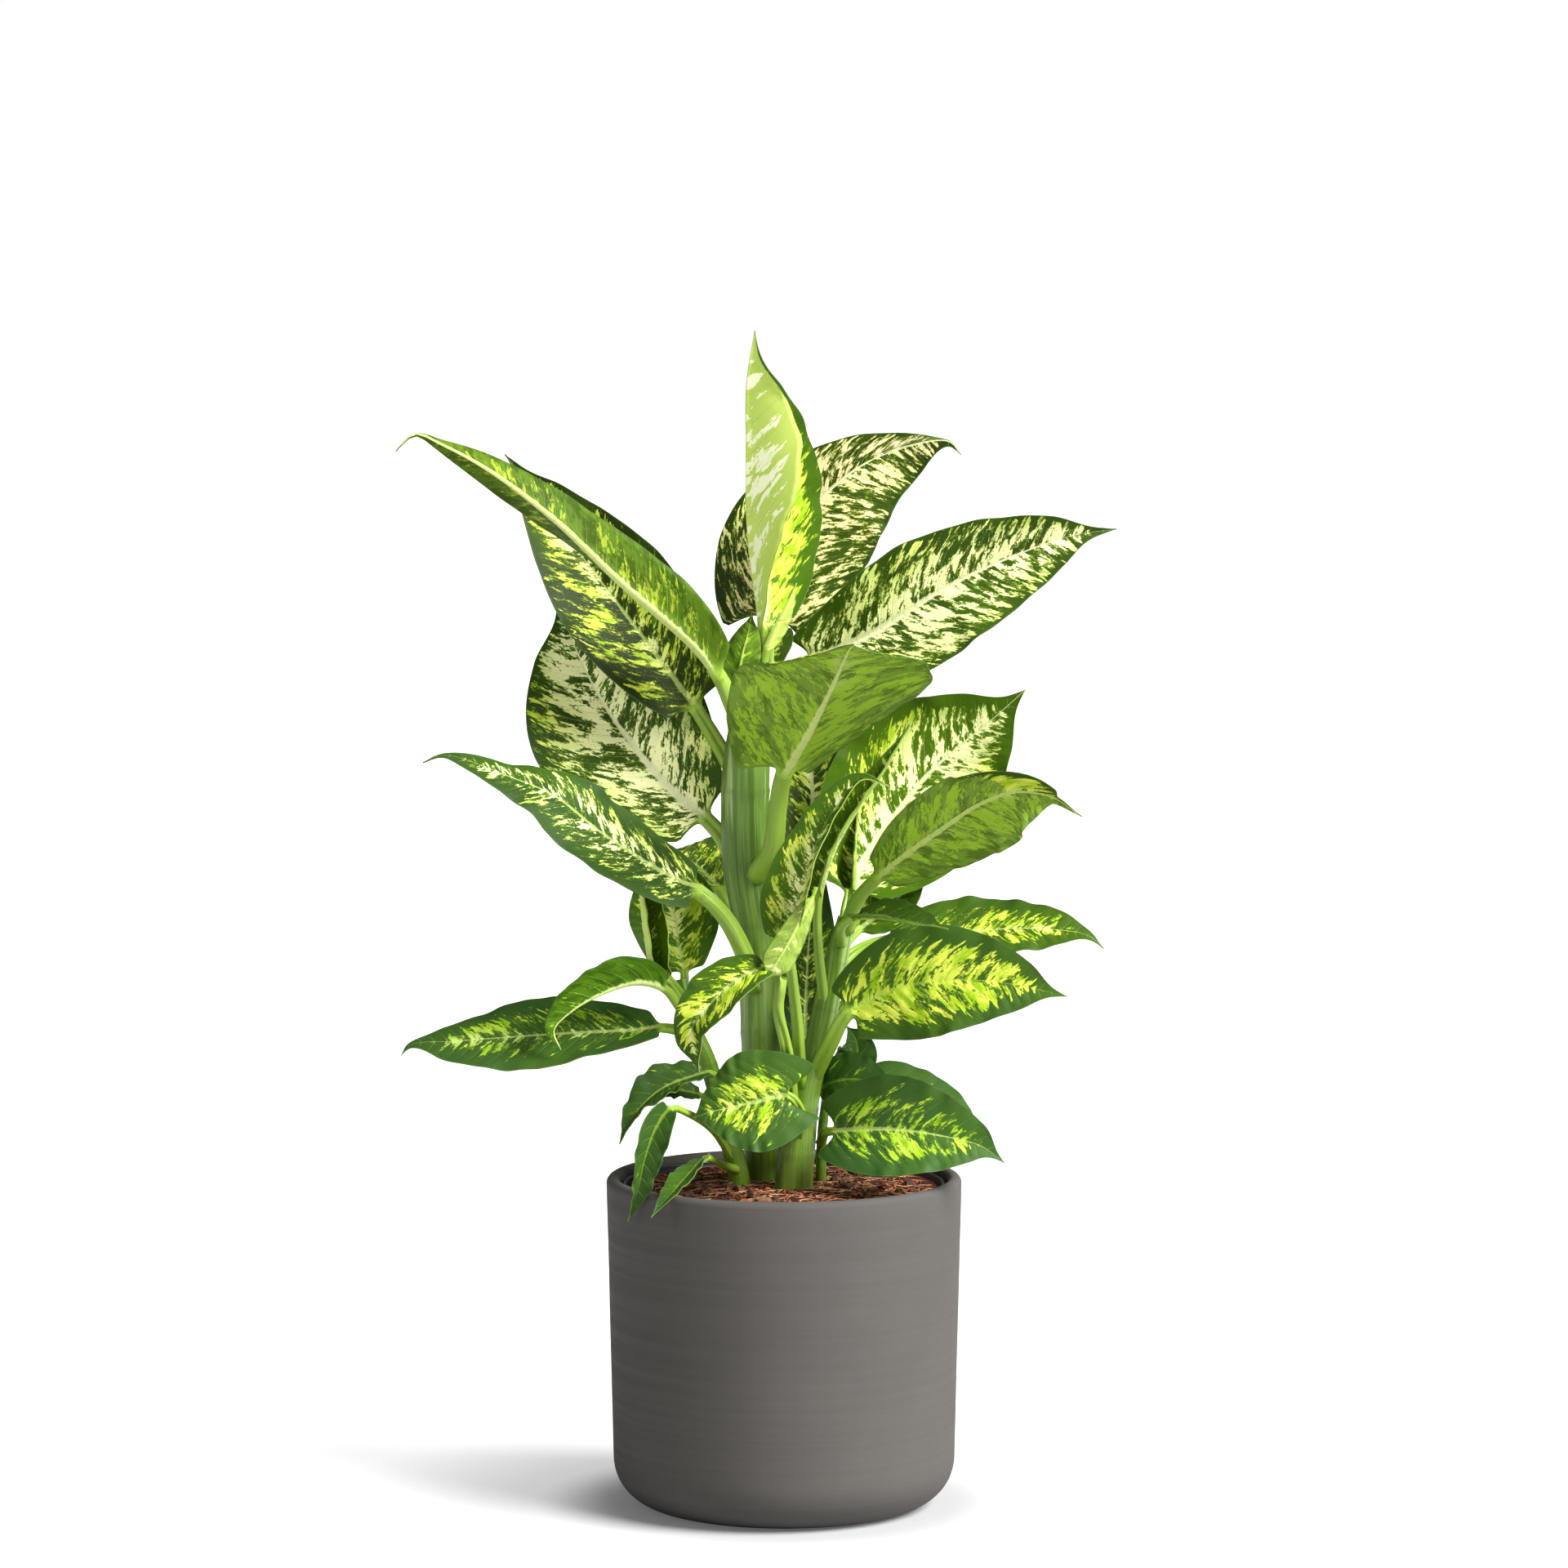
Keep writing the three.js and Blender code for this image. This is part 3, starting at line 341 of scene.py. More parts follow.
# Low leaves and those at the rim
LOW_LEAVES = [
    Leaf("leaf_low_heart", petiole=3, width=72, peak=0.35, blade=2,
         spine=[(10, -24, 262), (12, -46, 284), (3, -56, 297), (-17, -60, 294), (-35, -60, 290),
                (-51, -58, 286), (-64, -55, 281)],
         face=[(-0.1, -1, 0.15), (-0.1, -0.95, 0.3)], left=(5, 5, 5, 5), lobe=26, wave=(1, 2),
         marks=(0.7, 0.2, 12, 0.5, 0.3, 0.7)),
    Leaf("leaf_low_right", petiole=3, width=76, peak=0.35, blade=2,
         spine=[(26, 6, 255), (29, -20, 266), (34, -34, 269), (52, -45, 272), (79, -54, 273),
                (107, -60, 270), (136, -62, 263), (153, -62, 251)],
         face=[(0, -0.95, 0.3)], left=(5, 5, 5, 5), right=(20, 15, 5, 5), lobe=16, wave=(1, 2),
         marks=(0.52, 0, 12, 0.45, 0.3, 1)),
    Leaf("leaf_low_right_back", petiole=2.4, width=40, peak=0.4, blade=1,
         spine=[(29, 10, 275), (38, 10, 287), (54, 10, 293), (77, 10, 295), (103, 8, 288),
                (126, 4, 275), (141, 2, 262)],
         face=[(0, -0.6, 0.8)], left=(10, 10, 5, 5), wave=(1, 2),
         marks=(0.2, 0.1, 6, 0.7, 0.1, 0.9)),
    Leaf("leaf_low_small", petiole=2.2, width=40, peak=0.4, blade=1,
         spine=[(30, 8, 284), (27, -6, 295), (36, -12, 301), (51, -17, 303), (66, -20, 301),
                (77, -22, 297)],
         face=[(0, -0.8, 0.6)], wave=(1, 1), marks=(0.15, 0.1, 5, 0.7, 0, 0.9)),
    Leaf("leaf_low_upright", petiole=2.2, width=30, peak=0.4, blade=1,
         spine=[(30, 10, 286), (38, 18, 303), (51, 22, 313), (51, 23, 325), (44, 22, 336)],
         face=[(0, -1, 0.3)], lobe=2, wave=(1, 1), marks=(0.1, 0.1, 5, 0.6, 0, 0.9)),
    Leaf("leaf_rim_drooping", petiole=2.4, width=28, peak=0.35, blade=3,
         spine=[(-36, -8, 245), (-50, -32, 270), (-67, -50, 284), (-78, -62, 289), (-88, -76, 278),
                (-96, -84, 257), (-101, -84, 234), (-108, -80, 212)],
         face=[(0.2, -0.8, 0.6), (0.6, -0.8, 0.2)], left=(30, 30, 20, 20), lobe=2, wave=(1, 2),
         crinkle=1.5, marks=(0.1, 0.2, 4, 0.8, 0, 0.7)),
    Leaf("leaf_rim_twisted", petiole=2.6, width=34, peak=0.4, blade=2,
         spine=[(-42, -8, 273), (-43, -22, 300), (-51, -30, 309), (-67, -40, 307), (-86, -50, 300),
                (-103, -60, 285), (-114, -66, 265)],
         face=[(0, -0.5, 0.85), (-0.5, -0.7, 0.5)], left=(15, 25, 20, 20), lobe=3, crinkle=1.6,
         marks=(0.2, 0.2, 4, 0.8, 0.2, 0.8)),
    Leaf("leaf_rim_small", petiole=2.2, width=24, peak=0.45, blade=1,
         spine=[(-46, -8, 284), (-58, -12, 291), (-72, -17, 295), (-86, -23, 297),
                (-100, -30, 294), (-111, -34, 281)],
         face=[(0, -0.6, 0.8), (-0.4, -0.6, 0.6)], lobe=2, wave=(1, 2), crinkle=1.2,
         marks=(0.2, 0.2, 4, 0.6, 0.1, 0.8)),
    Leaf("leaf_rim_front", petiole=2.4, width=22, peak=0.45, blade=2,
         spine=[(-33, -10, 238), (-42, -40, 246), (-54, -66, 255), (-63, -90, 250),
                (-77, -110, 237), (-91, -124, 223)],
         face=[(-0.5, -0.5, 0.7), (-0.5, -0.7, 0.5)], left=(15, 15, 10, 10), lobe=2, wave=(0.5, 2),
         marks=(0.1, 0.2, 4, 0.9, 0, 0.7)),
]

# Leaves on the far side
FAR_LEAVES = [
    Leaf("leaf_far_high", petiole=5, width=90, peak=0.4, blade=2,
         spine=[(-22, 6, 520), (-24, 34, 548), (-28, 60, 572), (-34, 100, 592), (-40, 145, 596),
                (-44, 190, 580), (-46, 214, 562)],
         face=[(0, -0.5, 0.87), (0, 0.4, 0.9)], lobe=8, marks=(0.55, 0.6, 6, 0.7, 0.7, 0.1)),
    Leaf("leaf_far_left", petiole=5, width=84, peak=0.4, blade=2,
         spine=[(-20, 12, 372), (-32, 38, 404), (-44, 62, 426), (-66, 98, 444), (-88, 134, 446),
                (-106, 166, 430), (-112, 180, 416)],
         face=[(0.3, -0.5, 0.8), (-0.2, 0.4, 0.9)], lobe=8, marks=(0.55, 0.3, 6, 0.6, 0.3, 0.3)),
    Leaf("leaf_far_right", petiole=5, width=84, peak=0.4, blade=2,
         spine=[(-10, 16, 400), (8, 44, 432), (22, 66, 450), (42, 104, 466), (62, 142, 466),
                (78, 176, 450), (84, 192, 434)],
         face=[(-0.3, -0.5, 0.8), (0.2, 0.4, 0.9)], lobe=8, marks=(0.55, 0.3, 6, 0.6, 0.3, 0.3)),
    Leaf("leaf_far_low", petiole=4, width=74, peak=0.4, blade=2,
         spine=[(20, -12, 318), (36, 22, 340), (48, 44, 354), (68, 78, 366), (90, 108, 366),
                (112, 136, 352), (122, 148, 338)],
         face=[(-0.3, -0.4, 0.8), (0.3, 0.3, 0.9)], lobe=6, marks=(0.52, 0.2, 7, 0.6, 0.2, 0.5)),
]

# Small pieces that have no node of their own: the sheath that the newest leaf left, the
# dark rolled margin at its foot, the turned-over edge of the folded leaf in front, and a
# dark leaf in the depth between the canes
LOOSE_LEAVES = [
    Leaf("newest_sheath", petiole=3, width=15, peak=0.35, blade=1,
         spine=[(-16, -4, 588), (-12, -7, 604), (-3, -9, 624), (5, -9, 640), (9, -8, 650)],
         face=[(0.6, 0.7, -0.3)], left=(30, 20, 20, 20), lobe=0, wave=(0, 1),
         marks=(0.1, 0.5, 2, 0, 0.2, 0)),
    Leaf("collar_flap", petiole=1.5, width=26, peak=0.5, blade=1,
         spine=[(-29, -8, 560), (-30, -9, 568), (-31, -10, 585), (-29, -10, 600), (-25, -9, 615),
                (-22, -8, 630)],
         face=[(0.2, 1, 0.2)], left=(5, 5, 10, 10), lobe=0, wave=(0, 1),
         marks=(0.6, 0.1, 4, 0.9, 0, 0)),
    Leaf("folded_flap", petiole=1.2, width=22, peak=0.76, blade=1,
         spine=[(22, -90, 446), (20, -91, 440), (12, -92, 425), (3, -93, 408), (-6, -93, 393),
                (-13, -91, 382)],
         face=[(0.1, 1, 0.1)], left=(5, 5, 10, 10), lobe=0, wave=(0, 1),
         marks=(0.62, 0.9, 2, 0.5, 0.2, 0)),
    Leaf("shaded_leaf", petiole=3, width=50, peak=0.4, blade=1,
         spine=[(14, 6, 232), (14, 10, 290), (15, 20, 340), (16, 26, 368), (18, 30, 400),
                (21, 32, 435), (26, 34, 466)],
         face=[(0, -1, 0.1)], left=(15, 15, 10, 10), lobe=6, marks=(0.4, 0.3, 5, 1, 0.3, 0.3)),
]

ALL_LEAVES = (TALL_LEAVES + LEFT_LEAVES + FRONT_LEAVES + RIGHT_LEAVES + LOW_LEAVES + FAR_LEAVES
              + LOOSE_LEAVES)


def srgb(red, green, blue):
    """The linear colour of a screen colour given in 0 to 255."""
    return tuple(((c / 255 + 0.055) / 1.055) ** 2.4 if c > 10 else c / 3294.6
                 for c in (red, green, blue)) + (1.0,)


# Fixed tints of the materials; the main colours are settings
WHITE = (1.0, 1.0, 1.0, 1.0)
BLACK = (0.0, 0.0, 0.0, 1.0)
CLAY_SPECK = srgb(58, 55, 52)
PLASTIC_DUST = srgb(70, 60, 50)
# The darkest peat tone is partly the peat's own colour and partly painted shade in the hollows;
# the crumb tone is partly pale crumbs and partly a painted highlight
PEAT_DARK_AND_HOLLOW_SHADE = srgb(40, 14, 5)
PEAT_PATCH = srgb(72, 32, 16)
PEAT_CRUMB_AND_HIGHLIGHT = srgb(160, 104, 70)
FIBRE_GRAIN = srgb(70, 46, 28)
COIR_PALE = srgb(226, 178, 130)
CANE_BLOTCH = srgb(150, 176, 84)
CANE_MOTTLE = srgb(58, 86, 22)
CANE_FOOT = srgb(84, 92, 26)
CANE_TOP = srgb(66, 92, 40)
# Painted shade in the creases of the canes' folds, and a painted highlight on their crests
CANE_FOLD_SHADE = srgb(36, 56, 10)
CANE_CREST_HIGHLIGHT = srgb(186, 204, 140)
CANE_SCAR = srgb(74, 92, 30)
STALK_TINT = srgb(152, 184, 58)
COOL_FLECK = srgb(112, 172, 24)
BLADE_FOOT = srgb(150, 182, 66)
BLADE_HEM = srgb(74, 98, 56)
LOWER_TONE = srgb(112, 150, 34)
LOWER_SHADE = srgb(34, 62, 4)
LOWER_FLECK = srgb(160, 196, 50)
LOWER_CREAM = srgb(232, 238, 160)
LOWER_PALEST = srgb(250, 253, 210)
LOWER_VEIN = srgb(188, 208, 112)
LOWER_RIB = srgb(170, 194, 76)
LOWER_WARMTH = (1.0, 0.76, 1.2, 1.0)

# Lumps on the soil: name, number, least and greatest radius, fineness, darkest and palest
LUMPS = (("peat_crumbs", 520, (0.5, 1.9), 1, srgb(34, 12, 5), srgb(112, 56, 30)),
         ("bark_chips", 230, (0.9, 2.6), 1, srgb(88, 32, 12), srgb(178, 84, 40)),
         ("moss_clumps", 70, (2.5, 6.0), 2, srgb(44, 22, 8), srgb(128, 88, 50)))
LUMP_RISE = 0.1
LUMP_ROUGHNESS = 0.16
LUMP_WIDTHS = 0.5, 1
LUMP_HEIGHTS = 0.35, 0.7

# Noise scales of the leaves: per metre across the veins and along them, and per leaf
PATCH_SCALE = (70, 34, 1)
DASH_SCALE = (250, 78, 1.7)
SPECK_SCALE = (640, 380, 2.3)
DOT_SCALE = (1150, 900, 3.1)
DRIFT_SCALE = (18, 10, 1)
MOTTLE_SCALE = (120, 60, 5)
GRAIN_SCALE = (1500, 240, 3)

# How much noise a fleck needs: with no reach, less by reach, and more outwards, in the
# plain margin and at the tip
NEED = 0.66
NEED_BY_REACH = 0.24
NEED_OUTWARDS = 0.035
NEED_IN_MARGIN = 0.22
NEED_AT_TIP = 0.12
HALO_BELOW = 0.035


def colour_setting(name, description, default):
    return bpy.props.FloatVectorProperty(name=name, description=description, default=default,
                                         size=4, min=0, max=1, subtype="COLOR")


def number_setting(name, description, default, low, high, **more):
    return bpy.props.FloatProperty(name=name, description=description, default=default,
                                   min=low, max=high, **more)


def length_setting(name, description, default, low, high, precision=4):
    return number_setting(name, description, default, low, high, unit="LENGTH",
                          precision=precision)


class PotSettings(bpy.types.PropertyGroup):
    """Finish of the planter, the nursery pot and the soil"""
    clay: colour_setting("Stoneware", "Colour of the planter", srgb(74, 71, 68))
    clay_dust: colour_setting("Dust", "Paler tone of its brushed lines", srgb(86, 83, 79))
    line_depth: length_setting("Line depth", "Depth of the brushed lines", 0.00005, 0, 0.002, 5)
    plastic: colour_setting("Plastic", "Colour of the nursery pot", srgb(22, 22, 23))
    peat: colour_setting("Peat", "Colour of the soil", srgb(94, 40, 20))
    coir: colour_setting("Coir", "Colour of the fibres", srgb(176, 108, 66))
    crumb_height: length_setting("Crumb height", "How rough the soil's surface is", 0.0022,
                                 0, 0.01)
    fibres: bpy.props.IntProperty(
        name="Fibres", description="Number of coir fibres on the soil", default=640, min=0,
        max=2000)


class LeafSettings(bpy.types.PropertyGroup):
    """Shape and colours of the leaves and stems"""
    thickness: length_setting("Blade thickness", "Thickness of a blade", 0.0007, 0.0003, 0.003)
    quilting: length_setting("Quilting", "Height of the blade between its side veins", 0.0008,
                             0, 0.002)
    vein_spacing: length_setting("Vein spacing", "Distance between side veins along the midrib",
                                 0.0095, 0.004, 0.03)
    deep: colour_setting("Deep green", "Darkest green of the upper side", srgb(36, 50, 8))
    fresh: colour_setting("Fresh green", "Brightest plain green", srgb(72, 106, 6))
    cool: colour_setting("Cool green", "Green of the lowest leaves", srgb(50, 82, 34))
    lime: colour_setting("Lime", "Colour of the outer flecks", srgb(146, 180, 22))
    lime_pale: colour_setting("Pale lime", "Palest lime of the flecks", srgb(212, 220, 84))
    cream: colour_setting("Cream", "Colour of the flecks by the midrib", srgb(238, 240, 176))
    beige: colour_setting("Beige", "Colour of the flecks of a leaf in warm light",
                          srgb(236, 214, 158))
    pale_rib: colour_setting("Pale midrib", "Colour of a pale midrib", srgb(220, 224, 172))
    green_rib: colour_setting("Green midrib", "Colour of a green midrib", srgb(160, 190, 48))
    underside: colour_setting("Underside", "Palest green of the lower side",
                              srgb(206, 228, 112))
    underside_deep: colour_setting("Deep underside", "Darkest green of the lower side",
                                   srgb(66, 106, 14))
    cane: colour_setting("Cane", "Green of stems and petioles", srgb(112, 148, 36))
    cane_shade: colour_setting("Cane shade", "Darker green of the stems", srgb(62, 94, 14))


class StudioSettings(bpy.types.PropertyGroup):
    """Floor, lights and camera"""
    floor: colour_setting("Floor", "Colour of the floor", srgb(170, 170, 170))
    floor_glow: number_setting("Floor glow", "Light that comes up through the floor", 0.3, 0, 2)
    key_strength: number_setting("Key light", "Strength of the wide light from the right", 8.5,
                                 0, 50)
    leaf_power: number_setting("Leaf light", "Power of the soft spot on the leaves", 85, 0,
                               2000, unit="POWER")
    fill_power: number_setting("Fill light", "Power of the lamp on the left", 3, 0, 2000,
                               unit="POWER")
    ambient: number_setting("Ambient", "Strength of the light from all round", 0.21, 0, 5)
    lens: number_setting("Lens", "Focal length in millimetres on a 36 mm sensor", 131.8, 10,
                         400)
    distance: number_setting("Distance", "From the planter's axis to the camera", 4.0, 0.5, 20,
                             unit="LENGTH")
    eye_height: number_setting("Eye height", "Height of the camera", 0.859, 0, 5,
                               unit="LENGTH")
    tilt: number_setting("Tilt", "How far the camera looks down", math.radians(5), -1.5, 1.5,
                         subtype="ANGLE")


class Wiring:
    """Adds shader nodes to a tree and joins them."""

    def __init__(self, tree):
        self.tree = tree

    def feed(self, node, values):
        """Sets a node's inputs, or links those that are given another node's output."""
        for key, value in values.items():
            if isinstance(value, bpy.types.NodeSocket):
                self.tree.links.new(value, node.inputs[key])
            else:
                node.inputs[key].default_value = value

    def node(self, kind, values=None, **settings):
        made = self.tree.nodes.new("ShaderNode" + kind)
        for key, value in settings.items():
            setattr(made, key, value)
        self.feed(made, values or {})
        return made

    def group(self, name, build, values):
        """Places a shared node group, which is built the first time."""
        shared = bpy.data.node_groups.get(name) or build(name)
        return self.node("Group", values, node_tree=shared).outputs

    def math(self, operation, first, second=0.0, clamp=False):
        return self.node("Math", {0: first, 1: second}, operation=operation,
                         use_clamp=clamp).outputs[0]

    def add(self, first, *others, clamp=False):
        for other in others:
            first = self.math("ADD", first, other, clamp)
        return first

    def less(self, first, second):
        return self.math("SUBTRACT", first, second)

    def times(self, first, second, clamp=False):
        return self.math("MULTIPLY", first, second, clamp)

    def mix(self, share, first, second, blend="MIX"):
        return self.node("Mix", {0: share, 6: first, 7: second}, data_type="RGBA",
                         blend_type=blend).outputs[2]

    def ease(self, value, low, high, start=0.0, end=1.0):
        """A smooth step from start at low to end at high."""
        return self.node("MapRange", {"Value": value, "From Min": low, "From Max": high,
                                      "To Min": start, "To Max": end},
                         interpolation_type="SMOOTHSTEP").outputs[0]

    def tint(self, colour, other, amount, mask, low=0.0, high=1.0):
        """Mixes in another colour, up to an amount, as a mask goes from low to high."""
        return self.mix(self.ease(mask, low, high, 0.0, amount), colour, other)

    def noise(self, vector, scale, detail, roughness, distortion=0.0):
        return self.node("TexNoise", {"Vector": vector, "Scale": scale, "Detail": detail,
                                      "Roughness": roughness,
                                      "Distortion": distortion}).outputs[0]

    def stretch(self, vector, factors):
        return self.node("VectorMath", {0: vector, 1: factors}, operation="MULTIPLY").outputs[0]

    def streaked(self, vector, factors, detail, roughness, distortion=0.0):
        """Noise with its own scale in each direction."""
        return self.noise(self.stretch(vector, factors), 1, detail, roughness, distortion)

    def attribute(self, name):
        return self.node("Attribute", attribute_name=name).outputs["Vector"]

    def parts(self, vector):
        return self.node("SeparateXYZ", {0: vector}).outputs

    def object_place(self):
        return self.node("TexCoord").outputs["Object"]

    def bump(self, height, distance):
        return self.node("Bump", {"Height": height, "Distance": distance}).outputs[0]


def new_material(name):
    """An empty material, the wiring of its tree and its shader."""
    material = bpy.data.materials.new(name)
    material.use_nodes = True
    return material, Wiring(material.node_tree), material.node_tree.nodes["Principled BSDF"]


def new_group(name, inputs, outputs):
    """An empty shader node group with the sockets given as name and kind."""
    group = bpy.data.node_groups.new(name, "ShaderNodeTree")
    for direction, sockets in (("INPUT", inputs), ("OUTPUT", outputs)):
        for label, kind in sockets.items():
            group.interface.new_socket(name=label, in_out=direction,
                                       socket_type="NodeSocket" + kind)
    given = group.nodes.new("NodeGroupInput").outputs
    return group, Wiring(group), given, group.nodes.new("NodeGroupOutput")


def leaf_markings(name):
    """Flecks, halo, midrib and vein relief of a leaf, from its own vein coordinates."""
    results = ("Fleck", "Halo", "Cream", "Midrib", "Side vein", "Tone", "Patch", "Relief", "Hem")
    group, w, given, out = new_group(
        name, {"Veins": "Vector", "Place": "Vector", "Marking": "Vector", "Softness": "Float",
               "Sparseness": "Float", "Spacing": "Float", "Rib width": "Float"},
        dict.fromkeys(results, "Float"))
    veins = given["Veins"]
    across, along, half = w.parts(given["Place"])
    reach, cream, margin = w.parts(given["Marking"])
    soft = given["Softness"]
    side = w.math("ABSOLUTE", across)

    patches = w.streaked(veins, PATCH_SCALE, 2, 0.5, 0.2)
    dashes = w.streaked(veins, DASH_SCALE, 2, 0.5, 0.6)
    specks = w.streaked(veins, SPECK_SCALE, 3, 0.65)
    dots = w.streaked(veins, DOT_SCALE, 1, 0.5)
    field = w.add(w.times(patches, 0.34), w.times(dashes, 0.42), w.times(specks, 0.24),
                  w.ease(dots, 0.68, 0.76, 0.0, 0.09), w.ease(dots, 0.33, 0.26, 0.0, -0.06))

    wander = w.times(w.less(dashes, 0.5), 0.02)
    from_edge = w.add(w.times(w.less(1.0, side), half), wander)
    inside = w.ease(from_edge, 0.0, w.times(margin, 1.7))
    need = w.add(w.less(NEED, w.times(reach, NEED_BY_REACH)), given["Sparseness"],
                 w.times(w.ease(side, 0.35, 1.0), NEED_OUTWARDS),
                 w.times(w.less(1.0, inside), NEED_IN_MARGIN),
                 w.times(w.ease(along, 0.86, 1.0), NEED_AT_TIP))
    fleck = w.ease(field, w.less(need, soft), w.add(need, soft))
    below, softer = w.less(need, HALO_BELOW), w.times(soft, 2.0)
    halo = w.ease(field, w.less(below, softer), w.add(below, softer))

    drift = w.streaked(veins, DRIFT_SCALE, 2, 0.5)
    pale = w.less(w.add(cream, w.less(drift, 0.5)), w.times(side, 0.55))
    near = w.times(w.ease(side, 0.3, 0.0), w.times(cream, 0.6))
    pale = w.ease(w.add(pale, near), 0.1, 0.75)

    mottle = w.streaked(veins, MOTTLE_SCALE, 3, 0.6)
    distance = w.times(side, half)
    hem = w.ease(w.less(half, distance), 0.0009, 0.0003)
    rib = w.ease(w.less(1.0, along), 0.0, 1.15, 0.0002, 0.0036)
    rib = w.times(w.times(rib, given["Rib width"]), w.ease(dashes, 0.3, 0.7, 0.75, 1.2))
    midrib = w.ease(distance, w.times(rib, 1.25), w.times(rib, 0.55))
    turn = w.times(w.math("DIVIDE", w.parts(veins)[0], given["Spacing"]), FULL_TURN)
    line = w.times(w.ease(w.math("COSINE", turn), 0.93, 1.0), w.ease(side, 0.95, 0.3))
    grain = w.streaked(veins, GRAIN_SCALE, 3, 0.6)
    relief = w.add(w.times(grain, 0.5), w.times(line, -0.6), w.times(patches, 0.4))

    w.feed(out, dict(zip(results, (fleck, halo, pale, midrib, line, drift, mottle, relief, hem))))
    return group


def fine_streaks(name):
    """Long fine streaks along a stem or round a pot, as a mask and a height."""
    group, w, given, out = new_group(
        name, {"Vector": "Vector", "Fine": "Float", "Coarse": "Float"},
        dict.fromkeys(("Streak", "Blotch", "Height"), "Float"))
    fine = w.noise(given["Vector"], given["Fine"], 4, 0.7)
    coarse = w.noise(given["Vector"], given["Coarse"], 3, 0.5)
    w.feed(out, {"Streak": w.ease(fine, 0.35, 0.68), "Blotch": w.ease(coarse, 0.36, 0.66),
                 "Height": w.add(w.times(fine, 0.6), w.times(coarse, 0.4))})
    return group


def clay_material(settings):
    """Stoneware with brushed lines round it, dusty blotches and dark specks."""
    material, w, shader = new_material("brushed stoneware")
    place = w.object_place()
    streaks = w.group("fine streaks", fine_streaks,
                      {"Vector": w.stretch(place, (5, 5, 620)), "Fine": 1.0, "Coarse": 0.22})
    specks = w.noise(place, 900, 2, 0.6)
    colour = w.mix(w.times(streaks["Streak"], 0.13), settings.clay, settings.clay_dust)
    colour = w.tint(colour, settings.clay_dust, 0.22, w.noise(place, 16, 4, 0.6), 0.3, 0.75)
    colour = w.tint(colour, CLAY_SPECK, 0.35, specks, 0.66, 0.74)
    height = w.add(streaks["Height"], w.times(specks, 0.25))
    w.feed(shader, {"Base Color": colour, "Normal": w.bump(height, settings.line_depth),
                    "Roughness": w.ease(streaks["Blotch"], 0, 1, 0.72, 0.86),
                    "Specular IOR Level": 0.35})
    return material


def plastic_material(settings):
    """Thin black plastic, scuffed and dusty."""
    material, w, shader = new_material("black nursery plastic")
    place = w.object_place()
    scuffs = w.group("fine streaks", fine_streaks,
                     {"Vector": w.stretch(place, (40, 40, 400)), "Fine": 1.0, "Coarse": 0.3})
    dust = w.noise(place, 140, 5, 0.65)
    w.feed(shader, {"Base Color": w.tint(settings.plastic, PLASTIC_DUST, 0.55, dust, 0.52, 0.72),
                    "Roughness": w.ease(scuffs["Streak"], 0, 1, 0.3, 0.5),
                    "Normal": w.bump(scuffs["Height"], 0.0002)})
    return material


def peat_material(settings):
    """Dark crumbly peat with darker patches, painted shade in the hollows between crumbs, and pale
    crumbs with a painted highlight on their tops.
    """
    material, w, shader = new_material("peat and moss")
    place = w.object_place()
    crumbs = w.noise(place, 260, 6, 0.68)
    # Darkest where the crumbs' bump is lowest: the peat's dark tone with painted shade in the
    # hollows
    colour = w.tint(PEAT_DARK_AND_HOLLOW_SHADE, settings.peat, 1.0, crumbs, 0.45, 0.64)
    colour = w.tint(colour, PEAT_PATCH, 0.5, w.noise(place, 34, 4, 0.6), 0.5, 0.68)
    # Palest where the bump is highest: pale crumbs with a painted highlight on their tops
    colour = w.tint(colour, PEAT_CRUMB_AND_HIGHLIGHT, 0.5, crumbs, 0.58, 0.7)
    w.feed(shader, {"Base Color": colour, "Normal": w.bump(crumbs, 0.0016),
                    "Roughness": 0.95, "Specular IOR Level": 0.2})
    return material


def fibre_material(name, low, high):
    """Coir, bark or moss between two tones, with a dark grain."""
    material, w, shader = new_material(name)
    place = w.object_place()
    grain = w.noise(place, 1400, 2, 0.6)
    colour = w.tint(low, high, 1.0, w.noise(place, 70, 3, 0.6), 0.38, 0.62)
    w.feed(shader, {"Base Color": w.tint(colour, FIBRE_GRAIN, 0.4, grain, 0.4, 0.7),
                    "Normal": w.bump(grain, 0.0002), "Roughness": 0.85})
    return material


